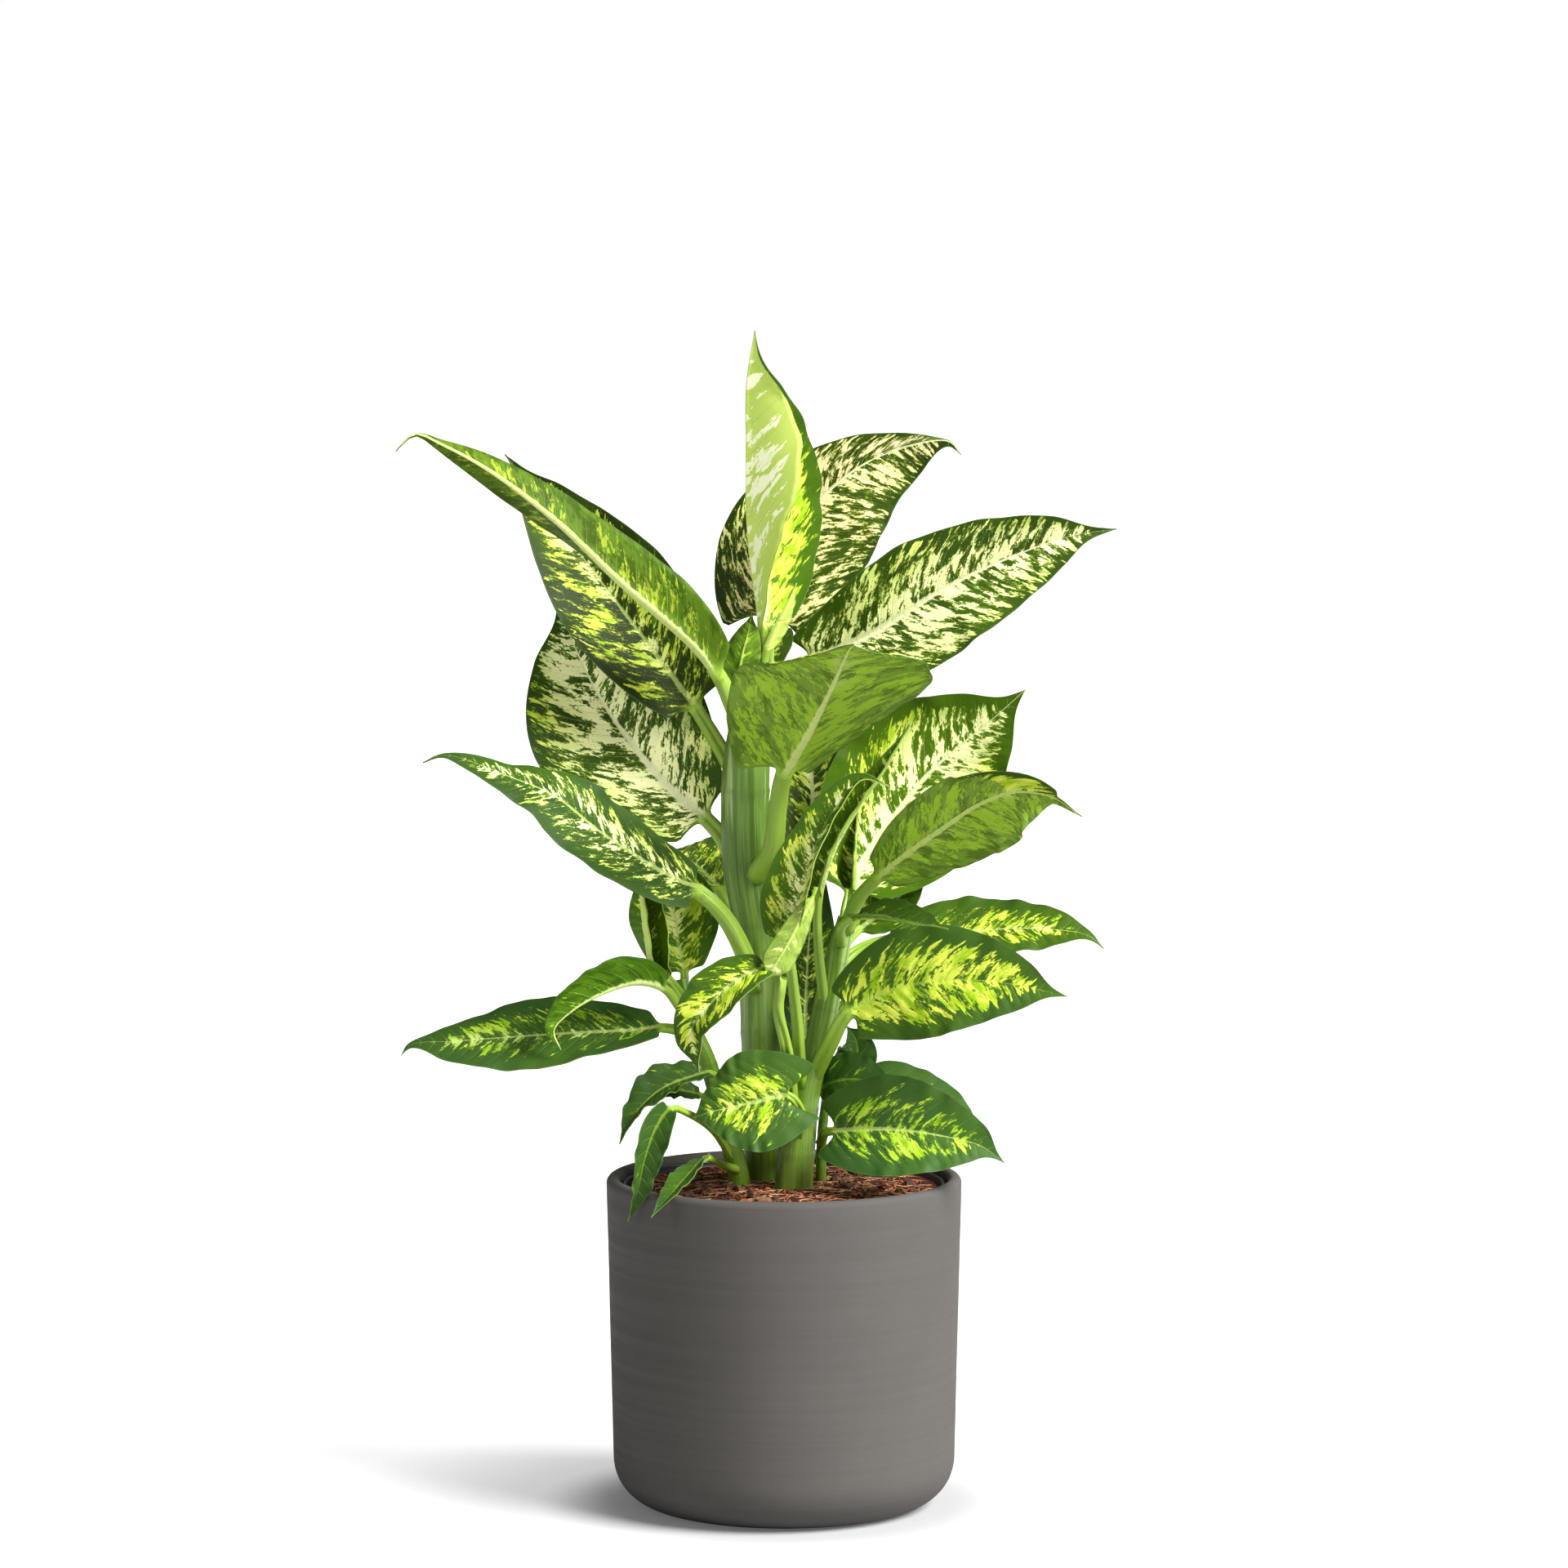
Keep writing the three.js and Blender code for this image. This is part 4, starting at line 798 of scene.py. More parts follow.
def cane_material(settings):
    """Green stems and petioles, with long lines, an olive tint low down, and painted highlights
    and shade on the upper canes' folds.
    """
    found = bpy.data.materials.get("green cane")
    if found:
        return found
    material, w, shader = new_material("green cane")
    run = w.attribute("vein_run")
    lines = w.group("fine streaks", fine_streaks,
                    {"Vector": w.stretch(run, (900, 26, 1)), "Fine": 1.0, "Coarse": 0.18})
    height = w.parts(w.object_place())[2]
    mottle = w.streaked(run, (160, 60, 1), 4, 0.6)
    colour = w.mix(w.ease(lines["Streak"], 0.0, 1.0, 0.5, 1.0), settings.cane_shade,
                   settings.cane)
    colour = w.tint(colour, CANE_BLOTCH, 0.3, lines["Blotch"], 0.3, 1.0)
    colour = w.tint(colour, CANE_MOTTLE, 0.35, mottle, 0.56, 0.7)
    colour = w.tint(colour, CANE_FOOT, 0.45, height, 0.28, 0.22)
    colour = w.tint(colour, CANE_TOP, 0.55, height, 0.36, 0.5)
    # Fold lines on the upper canes: dark lines are painted shade in the sheaths' creases, pale
    # lines a painted highlight on their crests
    folds = w.streaked(run, (210, 7, 1), 3, 0.5, 0.3)
    old = w.ease(height, 0.3, 0.42, 0.15, 0.5)
    colour = w.mix(w.times(w.ease(folds, 0.47, 0.36), old), colour, CANE_FOLD_SHADE)
    colour = w.mix(w.times(w.ease(folds, 0.56, 0.68), old), colour, CANE_CREST_HIGHLIGHT)
    colour = w.tint(colour, STALK_TINT, 0.62, w.parts(w.attribute("blade_place"))[2], 0.0, 0.0004)
    scar = w.parts(w.attribute("cane_scar"))[0]
    w.feed(shader, {"Base Color": w.mix(w.times(scar, 0.3), colour, CANE_SCAR),
                    "Roughness": w.ease(lines["Blotch"], 0, 1, 0.3, 0.42),
                    "Normal": w.bump(lines["Height"], 0.00035), "Specular IOR Level": 0.45})
    return material


def upper_colour(w, settings, marks, deepness, paleness, coolness):
    """Green of the upper side with its flecks, side veins and midrib."""
    base = w.mix(deepness, settings.fresh, settings.deep)
    base = w.mix(w.add(coolness, 0.0, clamp=True), base, settings.cool)
    base = w.tint(base, settings.fresh, 0.3, marks["Tone"], 0.35, 0.7)
    warmth = w.times(coolness, -1.0, clamp=True)
    lime = w.tint(settings.lime, settings.lime_pale, 1.0, marks["Patch"], 0.36, 0.62)
    light = w.mix(marks["Cream"], lime, settings.cream)
    light = w.mix(w.times(warmth, marks["Cream"]), light, settings.beige)
    light = w.tint(light, COOL_FLECK, 0.5, coolness, 0.45, 1.0)
    halo = w.mix(0.42, base, settings.lime)
    colour = w.mix(w.times(marks["Halo"], 0.7), base, halo)
    colour = w.mix(marks["Fleck"], colour, light)
    ridge = w.mix(paleness, settings.green_rib, settings.pale_rib)
    colour = w.mix(w.times(marks["Side vein"], 0.14), colour, ridge)
    shown = w.times(marks["Midrib"], w.ease(paleness, 0.0, 0.7, 0.3, 0.92))
    return w.mix(shown, colour, ridge)


def lower_colour(w, settings, marks, deepness, paleness, coolness):
    """Paler green of the lower side with its fainter flecks and its midrib."""
    base = w.mix(deepness, settings.underside, settings.underside_deep)
    base = w.tint(base, LOWER_TONE, 0.35, marks["Tone"], 0.3, 0.7)
    shade = w.times(w.ease(marks["Patch"], 0.56, 0.4, 0.0, 0.6), deepness)
    base = w.mix(shade, base, LOWER_SHADE)
    light = w.mix(marks["Cream"], LOWER_FLECK, LOWER_CREAM)
    light = w.mix(w.ease(deepness, 0.0, 0.6), LOWER_PALEST, light)
    fleck = w.times(marks["Fleck"], w.ease(deepness, 0.0, 1.0, 0.95, 0.72))
    colour = w.mix(fleck, base, light)
    colour = w.mix(w.times(marks["Side vein"], 0.2), colour, LOWER_VEIN)
    warmth = w.times(coolness, -1.0, clamp=True)
    colour = w.mix(warmth, colour, LOWER_WARMTH, blend="MULTIPLY")
    return w.mix(marks["Midrib"], colour, w.mix(paleness, LOWER_RIB, settings.pale_rib))


def leaf_material(settings, upper):
    """The upper or lower skin of every leaf, the lower one with a faint painted glow where it is
    pale.
    """
    name = "leaf upper side" if upper else "leaf lower side"
    found = bpy.data.materials.get(name)
    if found:
        return found
    material, w, shader = new_material(name)
    deepness, paleness, coolness = w.parts(w.attribute("leaf_tone"))
    place = w.attribute("blade_place")
    run, softness, sparseness = w.attribute("vein_run"), 0.006, 0.0
    if not upper:
        run = w.node("VectorMath", {0: run, "Scale": w.ease(deepness, 0.0, 0.5, 0.45, 1.0)},
                     operation="SCALE").outputs[0]
        softness = w.ease(deepness, 0.0, 1.0, 0.01, 0.03)
        sparseness = w.ease(deepness, 0.0, 0.8, 0.085, 0.03)
    marks = w.group("leaf markings", leaf_markings,
                    {"Veins": run, "Place": place, "Marking": w.attribute("leaf_marking"),
                     "Softness": softness, "Sparseness": sparseness,
                     "Spacing": settings.vein_spacing,
                     "Rib width": w.ease(paleness, 0.0, 1.0, 0.55, 1.25)})
    paint = upper_colour if upper else lower_colour
    colour = paint(w, settings, marks, deepness, paleness, coolness)
    colour = w.mix(w.times(marks["Hem"], 0.5), colour, BLADE_HEM)
    colour = w.tint(colour, BLADE_FOOT, 1.0, w.parts(place)[1], 0.05, 0.0)
    least, most, relief, gloss = (0.42, 0.54, 0.0004, 0.25) if upper else (0.38, 0.5, 0.0005, 0.15)
    w.feed(shader, {"Base Color": colour, "Normal": w.bump(marks["Relief"], relief),
                    "Roughness": w.ease(marks["Tone"], 0.3, 0.7, least, most),
                    "Specular IOR Level": gloss, "IOR": 1.28})
    if not upper:
        # Pale lower sides glow faintly in their own colour: painted light, standing in for the
        # light that shines through the thin blade
        glow = w.mix(w.ease(deepness, 0.5, 0.0), BLACK, colour)
        w.feed(shader, {"Emission Color": glow, "Emission Strength": 0.14})
    return material


class Spine:
    """A smooth line through points in millimetres, read by share of its length."""

    def __init__(self, points):
        self.points = [Vector(point) for point in points]
        self.samples = [self.at(k / CURVE_STEPS) for k in range(CURVE_STEPS + 1)]
        self.lengths = [0.0]
        for before, after in zip(self.samples, self.samples[1:]):
            self.lengths.append(self.lengths[-1] + (after - before).length)
        self.total = self.lengths[-1]

    def at(self, place):
        """The centripetal Catmull-Rom point at a place from 0 to 1."""
        points = self.points
        count = len(points)
        run = (count - 1) * place
        index = min(int(run), count - 2)
        weight = run - index
        p1, p2 = points[index], points[index + 1]
        p0 = points[index - 1] if index > 0 else 2 * p1 - p2
        p3 = points[index + 2] if index + 2 < count else 2 * p2 - p1
        d0, d1, d2 = ((b - a).length ** 0.5 for a, b in ((p0, p1), (p1, p2), (p2, p3)))
        d1 = d1 or 1.0
        d0, d2 = d0 or d1, d2 or d1
        t1 = ((p1 - p0) / d0 - (p2 - p0) / (d0 + d1) + (p2 - p1) / d1) * d1
        t2 = ((p2 - p1) / d1 - (p3 - p1) / (d1 + d2) + (p3 - p2) / d2) * d1
        return (p1 + t1 * weight + (3 * (p2 - p1) - 2 * t1 - t2) * weight ** 2
                + (2 * (p1 - p2) + t1 + t2) * weight ** 3)

    def place(self, share):
        """The place from 0 to 1 that lies at a share of the length."""
        target = min(max(share, 0.0), 1.0) * self.total
        low, high = 0, CURVE_STEPS
        while high - low > 1:
            middle = (low + high) // 2
            low, high = (middle, high) if self.lengths[middle] <= target else (low, middle)
        gap = self.lengths[high] - self.lengths[low]
        return (low + ((target - self.lengths[low]) / gap if gap else 0)) / CURVE_STEPS

    def directions(self, share, face):
        """Origin, side, up and along at a share of the length."""
        place = self.place(share)
        step = 1e-4
        ahead = self.at(min(place + step, 1.0))
        along = (ahead - self.at(max(place - step, 0.0))).normalized()
        up = (face - face.dot(along) * along).normalized()
        return self.at(place), along.cross(up), up, along


def arc_turn(half, fold, curl, share):
    """Reach, rise and angle of a half blade that bends on its way out."""
    start, turn = math.radians(fold), math.radians(max(curl, 0.01))
    end = start + turn * share
    return (half * (math.sin(end) - math.sin(start)) / turn,
            half * (math.cos(start) - math.cos(end)) / turn, end)


def blade_width(v, peak):
    """Half width of a blade as a share of its greatest half width."""
    if v < peak:
        return (1 - (1 - v / peak) ** 2) ** BASE_FULLNESS
    return max(0.0, 1 - ((v - peak) / (1 - peak)) ** TIP_ONSET) ** TIP_TAPER


def lobe_sweep(v):
    """How far back the lobes sweep, as a share of their reach."""
    if v < LOBE_CREST:
        return v / LOBE_CREST
    return max(0.0, 1 - (v - LOBE_CREST) / (LOBE_END - LOBE_CREST)) ** 2


def eased(value, low, high):
    """A smooth step from 0 at low to 1 at high."""
    share = min(max((value - low) / (high - low), 0.0), 1.0)
    return share * share * (3 - 2 * share)


def stalk_radius(radius, turn, stalk_share):
    """Radius of a petiole's upper half, which has a groove between two wings."""
    from_top = turn - math.pi / 2
    groove = math.exp(-(from_top / GROOVE_WIDTH) ** 2)
    wing = math.exp(-((abs(from_top) - WING_PLACE) / WING_WIDTH) ** 2)
    return radius * (1 - GROOVE_DEPTH * groove + WING_HEIGHT * wing * (1 - stalk_share))


def tube_turn(index, around):
    """Angle of a point in a tube's ring, from the side over the top."""
    return math.pi * (1 - (2 * (index % around) + 1) / around)


def ring_point(origin, side, up, radius, turn):
    return origin + side * radius * math.cos(turn) + up * radius * math.sin(turn)


def wrapped_grid(bm, around, rows):
    """A tube's worth of quads, its seam open: the points in order, ring by ring."""
    bmesh.ops.create_grid(bm, x_segments=around, y_segments=rows, size=1)
    return sorted(bm.verts, key=lambda v: (round((v.co.y + 1) * rows / 2),
                                           round((v.co.x + 1) * around / 2)))


def close_tube(bm):
    """Welds the tube's seam, closes both ends and turns every face outwards."""
    bmesh.ops.remove_doubles(bm, verts=bm.verts, dist=1e-7)
    ends = [edge for edge in bm.edges if edge.is_boundary]
    if ends:
        caps = bmesh.ops.holes_fill(bm, edges=ends, sides=0)["faces"]
        bmesh.ops.triangulate(bm, faces=caps)
    bmesh.ops.recalc_face_normals(bm, faces=bm.faces)


def finish_piece(bm, name, materials, replaced=(), smooth=True):
    """Turns a bmesh in metres into a piece that rides on the plant's body."""
    mesh = bpy.data.meshes.new(name)
    if smooth:
        for face in bm.faces:
            face.smooth = True
    bm.to_mesh(mesh)
    bm.free()
    for material in materials:
        mesh.materials.append(material)
    piece = bpy.data.objects.new(name, mesh)
    bpy.context.scene.collection.objects.link(piece)
    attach(piece, "root")
    if replaced:
        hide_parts(*replaced)
    return piece


def leaf_piece(leaf, number, settings):
    """One leaf as a closed skin from its stem to its tip, with its vein coordinates."""
    spine = Spine(leaf.spine)
    blade_step = round(CURVE_STEPS * leaf.blade / (len(leaf.spine) - 1))
    start = spine.lengths[blade_step] / spine.total
    blade_length = spine.total * (1 - start)
    faces = [Vector(face) for face in leaf.face]
    petiole, width = leaf.petiole, leaf.width
    large = width > LARGE_WIDTH
    columns, blade_rows = LARGE_MESH if large else SMALL_MESH
    rows = STALK_ROWS + blade_rows
    ring = 2 * (2 * columns + 1)
    rng = random.Random(number * LEAF_SEED_STEP + LEAF_SEED)
    phase, fine_phase = (rng.uniform(0, FULL_TURN) for _ in CRINKLES)
    crinkle = leaf.crinkle or (LARGE_CRINKLE if large else SMALL_CRINKLE)
    height, waves = leaf.wave
    drawn, drawn_from, drawn_to = leaf.drawn
    thick, lift, spacing = (size / MM for size in (
        settings.thickness / 2, settings.quilting, settings.vein_spacing))
    reach_of, cream_of, margin_of, *tone = leaf.marks
    marking = (reach_of, cream_of, margin_of * MM)

    bm = bmesh.new()
    runs, places, marks, tones = (bm.verts.layers.float_vector.new(label) for label in (
        "vein_run", "blade_place", "leaf_marking", "leaf_tone"))
    order = wrapped_grid(bm, ring, rows)
    offset = number * LEAF_OFFSET

    for row in range(rows + 1):
        on_blade = row >= STALK_ROWS
        v = ((row - STALK_ROWS) / blade_rows) ** ROW_POWER if on_blade else 0.0
        share = start + (1 - start) * v if on_blade else start * row / STALK_ROWS
        face = faces[0].lerp(faces[-1], v) if on_blade else faces[0]
        origin, side, up, along = spine.directions(share, face)
        stalk_share = min(share / start, 1.0)
        round_radius = petiole * (1 + PETIOLE_FLARE * (1 - stalk_share))
        half = max(TIP_HALF_WIDTH * (1 - v) + TIP_LEAST,
                   petiole * (1 - v) ** PETIOLE_FADE + width / 2 * blade_width(v, leaf.peak))
        half *= 1 - drawn * eased(v, drawn_from, drawn_to)
        flat = eased(v, 0.0, BASE_BLEND) if on_blade else 0.0
        rib_wide = petiole * RIB_SHARE * (1 - v) + RIB_LEAST
        sway = math.sin(math.pi * v)
        for k in range(ring + 1):
            index = k % ring
            upper = index <= 2 * columns
            column = index if upper else ring - 1 - index
            raw = column / columns - 1
            u = math.copysign(abs(raw) ** COLUMN_POWER, raw)
            sides = leaf.left if u < 0 else leaf.right or leaf.left
            fold = sides[0] + (sides[1] - sides[0]) * v
            curl = sides[2] + (sides[3] - sides[2]) * v
            reach, rise, angle = arc_turn(half, fold, curl, abs(u))
            rise += height * math.sin(FULL_TURN * (waves * v + WAVE_LEAN * u)) * u * u * sway
            rise += crinkle * abs(u) ** 3 * sway * (
                math.sin(FULL_TURN * CRINKLES[0] * v + phase + (CRINKLE_SHIFT if u < 0 else 0))
                + CRINKLE_SHARE * math.sin(
                    FULL_TURN * CRINKLES[1] * v + fine_phase + CRINKLE_LEAN * u))
            back = leaf.lobe * lobe_sweep(v) * abs(u) ** LOBE_POWER
            point = origin + side * math.copysign(reach, u) + up * rise - along * back
            outward = up * math.cos(angle) - side * math.copysign(math.sin(angle), u)
            if abs(u) < 1e-6:
                outward = up
            out = half * abs(u)
            bend = VEIN_SWEEP * out + VEIN_CURVE * out * out / (width / 2)
            vein = blade_length * v - back - bend
            quilt = lift * (0.5 - 0.5 * math.cos(FULL_TURN * vein / spacing))
            quilt *= eased(out, *QUILT_FROM_RIB) * eased(half - out, *QUILT_FROM_MARGIN)
            quilt *= min(width / LARGE_WIDTH, 1.0)
            under = thick
            channel = 0.0
            if out < rib_wide:
                swell = math.sqrt(max(0.0, 1 - (out / rib_wide) ** 2))
                under += rib_wide * (RIB_SWELL if on_blade else 1.0) * swell
                channel = CHANNEL_SHARE * petiole * swell * (1 - v)
            place = point + outward * (thick + quilt - channel if upper else quilt - under)
            turn = tube_turn(index, ring)
            if flat < 1:
                radius = stalk_radius(round_radius, turn, stalk_share) if upper else round_radius
                place = ring_point(origin, side, up, radius, turn).lerp(place, flat)
            vert = order[row * (ring + 1) + k]
            vert.co = place * MM
            if on_blade:
                vert[runs] = (vein * MM, math.copysign(out + VEIN_SPREAD * bend, u) * MM, offset)
            else:
                vert[runs] = (turn * round_radius * MM, share * spine.total * MM, offset)
            vert[places] = (u, v, half * MM)
            vert[marks] = marking
            vert[tones] = tone
    dress_skin(bm, order, columns)
    close_tube(bm)
    skins = [leaf_material(settings, True), leaf_material(settings, False),
             cane_material(settings)]
    node = () if leaf in LOOSE_LEAVES else (leaf.name,)
    finish_piece(bm, leaf.name, skins, replaced=node)


def dress_skin(bm, order, columns):
    """Gives a leaf's faces their materials, and its blade a sharp margin."""
    ring = 2 * (2 * columns + 1)
    positions = {vert: divmod(spot, ring + 1) for spot, vert in enumerate(order)}
    margins = {0, 2 * columns, 2 * columns + 1, ring}
    for face in bm.faces:
        row, k = (min(spots) for spots in zip(*(positions[vert] for vert in face.verts)))
        face.material_index = 2 if row < STALK_ROWS else 0 if k < 2 * columns else 1
    for edge in bm.edges:
        (row, k), (other_row, other_k) = (positions[vert] for vert in edge.verts)
        if k == other_k and k in margins and min(row, other_row) >= STALK_ROWS:
            edge.smooth = False


def build_leaves(leaves, context):
    """Makes leaves of the table. The place in the table seeds a leaf's draws."""
    for leaf in leaves:
        leaf_piece(leaf, ALL_LEAVES.index(leaf), context.scene.plant_leaves)
    return {"FINISHED"}


def stem_piece(name, stem, settings):
    """A cane with swollen leaf joints, their scars and the sheaths' long folds."""
    spine = Spine(stem["points"])
    radii = Spine([(radius, index, 0) for index, radius in enumerate(stem["radii"])])
    bm = bmesh.new()
    runs, scars = (bm.verts.layers.float_vector.new(label) for label in (
        "vein_run", "cane_scar"))
    order = wrapped_grid(bm, STEM_AROUND, STEM_ROWS)
    thick = max(stem["radii"])
    for row in range(STEM_ROWS + 1):
        share = row / STEM_ROWS
        origin, side, up, _ = spine.directions(share, Vector((0, -1, 0)))
        radius = radii.at(spine.place(share)).x
        swell = scar = 0.0
        for joint in stem["joints"]:
            near = (origin.z - joint) / JOINT_HEIGHT
            swell += JOINT_SWELL * math.exp(-(near / JOINT_SPREAD) ** 2)
            swell -= JOINT_GROOVE * math.exp(
                -(near - JOINT_GROOVE_ABOVE) ** 2 * JOINT_GROOVE_SHARPNESS)
            scar += math.exp(-near * near * SCAR_SHARPNESS)
        for k in range(STEM_AROUND + 1):
            turn = tube_turn(k, STEM_AROUND)
            fold = sum(depth * math.cos(count * turn + origin.z / twist)
                       for depth, count, twist in STEM_FOLDS)
            wide = radius * (1 + swell + fold * min(thick / STEM_FOLDS_FULL, 1) - STEM_INSET)
            vert = order[row * (STEM_AROUND + 1) + k]
            vert.co = ring_point(origin, side, up, wide, turn) * MM
            vert[runs] = (turn * radius * MM, share * spine.total * MM, thick)
            vert[scars] = (min(scar, 1.0), 0.0, 0.0)
    close_tube(bm)
    finish_piece(bm, name, [cane_material(settings)], replaced=(name,))


def lathe(bm, profile, steps):
    """Spins a chain of radius and height points, in millimetres, into a closed shell."""
    verts = [bm.verts.new((radius * MM, 0, height * MM)) for radius, height in profile]
    edges = [bm.edges.new(pair) for pair in zip(verts, verts[1:])]
    bmesh.ops.spin(bm, geom=verts + edges, cent=(0, 0, 0), axis=(0, 0, 1), dvec=(0, 0, 0),
                   angle=FULL_TURN, steps=steps, use_merge=True, use_duplicate=False)
    bmesh.ops.remove_doubles(bm, verts=bm.verts, dist=1e-6)
    bmesh.ops.recalc_face_normals(bm, faces=bm.faces)


def round_profile(centre, radius, start, end, steps):
    """Points of an arc in a lathe's profile, angles in degrees."""
    turns = [math.radians(start + (end - start) * k / steps) for k in range(steps + 1)]
    return [(centre[0] + radius * math.cos(turn), centre[1] + radius * math.sin(turn))
            for turn in turns]


class PLANT_OT_planter(bpy.types.Operator):
    """Makes the grey planter"""
    bl_idname = "plant.planter"
    bl_label = "Planter"

    def execute(self, context):
        rim = POT_WALL / 2
        flat = POT_LOW_RADIUS - POT_BOTTOM_ROUND
        inner = POT_LOW_RADIUS - POT_WALL - POT_INNER_ROUND
        wall = [(POT_LOW_RADIUS + (POT_TOP_RADIUS - POT_LOW_RADIUS) * k / POT_WALL_STEPS,
                 POT_BOTTOM_ROUND + (POT_HEIGHT - rim - POT_BOTTOM_ROUND) * k / POT_WALL_STEPS)
                for k in range(1, POT_WALL_STEPS)]
        profile = [(0, 0), (flat / 2, 0),
                   *round_profile((flat, POT_BOTTOM_ROUND), POT_BOTTOM_ROUND, -90, 0,
                                  POT_ARC_STEPS), *wall,
                   *round_profile((POT_TOP_RADIUS - rim, POT_HEIGHT - rim), rim, 0, 180,
                                  POT_ARC_STEPS),
                   *round_profile((inner, POT_FLOOR + POT_INNER_ROUND), POT_INNER_ROUND, 0, -90,
                                  POT_INNER_ARC_STEPS), (0, POT_FLOOR)]
        bm = bmesh.new()
        lathe(bm, profile, POT_STEPS)
        for vert in bm.verts:
            out = Vector((vert.co.x, vert.co.y, 0))
            if out.length > POT_LUMPS_OUTSIDE * MM and vert.co.z > POT_LUMPS_ABOVE * MM:
                lump = noise.noise(vert.co * POT_LUMP_SCALE) * POT_LUMP_DEPTH * MM
                vert.co -= out.normalized() * abs(lump)
        clay = clay_material(context.scene.plant_pot)
        finish_piece(bm, "planter", [clay], replaced=("planter",))
        return {"FINISHED"}


class PLANT_OT_nursery_pot(bpy.types.Operator):
    """Makes the thin black pot that stands in the planter"""
    bl_idname = "plant.nursery_pot"
    bl_label = "Nursery pot"

    def execute(self, context):
        foot = POT_FLOOR + GAP
        neck = LINER_TOP - LINER_LIP_HEIGHT
        lip = LINER_TOP - LINER_WALL
        profile = [(0, foot), (LINER_FOOT_RADIUS, foot),
                   (LINER_NECK_RADIUS, neck - LINER_NECK_DROP),
                   (LINER_LIP_RADIUS - LINER_STEP_INSET, neck),
                   (LINER_LIP_RADIUS, neck + LINER_STEP_RISE), (LINER_LIP_RADIUS, lip),
                   *round_profile((LINER_LIP_RADIUS - LINER_WALL, lip), LINER_WALL, 0, 180,
                                  LINER_ARC_STEPS)[1:],
                   (LINER_LIP_RADIUS - 2 * LINER_WALL, neck + LINER_INNER_RISE),
                   (LINER_NECK_RADIUS - LINER_WALL, neck - LINER_WALL),
                   (LINER_FOOT_RADIUS - LINER_WALL, foot + LINER_WALL), (0, foot + LINER_WALL)]
        bm = bmesh.new()
        lathe(bm, profile, LINER_STEPS)
        plastic = plastic_material(context.scene.plant_pot)
        finish_piece(bm, "nursery_pot", [plastic], replaced=("nursery_pot",))
        return {"FINISHED"}


def soil_top(x, y, roughness):
    """Height of the soil's crumbly surface, in metres."""
    out = math.hypot(x, y) / (LINER_NECK_RADIUS * MM)
    crown = SOIL_CROWN * (1 - eased(out, SOIL_CROWN_FROM, 1.0))
    lumps = sum(noise.noise(Vector((x, y, 0)) * scale) * share for scale, share in SOIL_LUMPS)
    depth = roughness * (SOIL_LEVEL - SOIL_LUMP_SHARE * lumps)
    return (LINER_TOP - SOIL_EDGE_BELOW_LIP + crown) * MM - depth


class PLANT_OT_soil(bpy.types.Operator):
    """Makes the soil with its crumbly surface"""
    bl_idname = "plant.soil"
    bl_label = "Soil"

    def execute(self, context):
        settings = context.scene.plant_pot
        foot = POT_FLOOR + GAP + LINER_WALL + GAP
        neck = LINER_TOP - LINER_LIP_HEIGHT - LINER_WALL
        edge = LINER_TOP - SOIL_EDGE_BELOW_LIP
        foot_radius = LINER_FOOT_RADIUS - LINER_WALL - 2 * GAP
        neck_radius = LINER_NECK_RADIUS - LINER_WALL - 2 * GAP
        edge_radius = neck_radius + SOIL_EDGE_FLARE
        profile = [(0, foot), (foot_radius, foot), (neck_radius, neck)]
        profile += [(edge_radius * (1 - k / SOIL_RINGS), edge) for k in range(SOIL_RINGS)]
        profile += [(0, edge)]
        bm = bmesh.new()
        lathe(bm, profile, SOIL_STEPS)
        for vert in bm.verts:
            if vert.co.z > (edge - 1) * MM:
                vert.co.z = soil_top(vert.co.x, vert.co.y, settings.crumb_height)
        finish_piece(bm, "soil", [peat_material(settings)], replaced=("soil",))
        return {"FINISHED"}


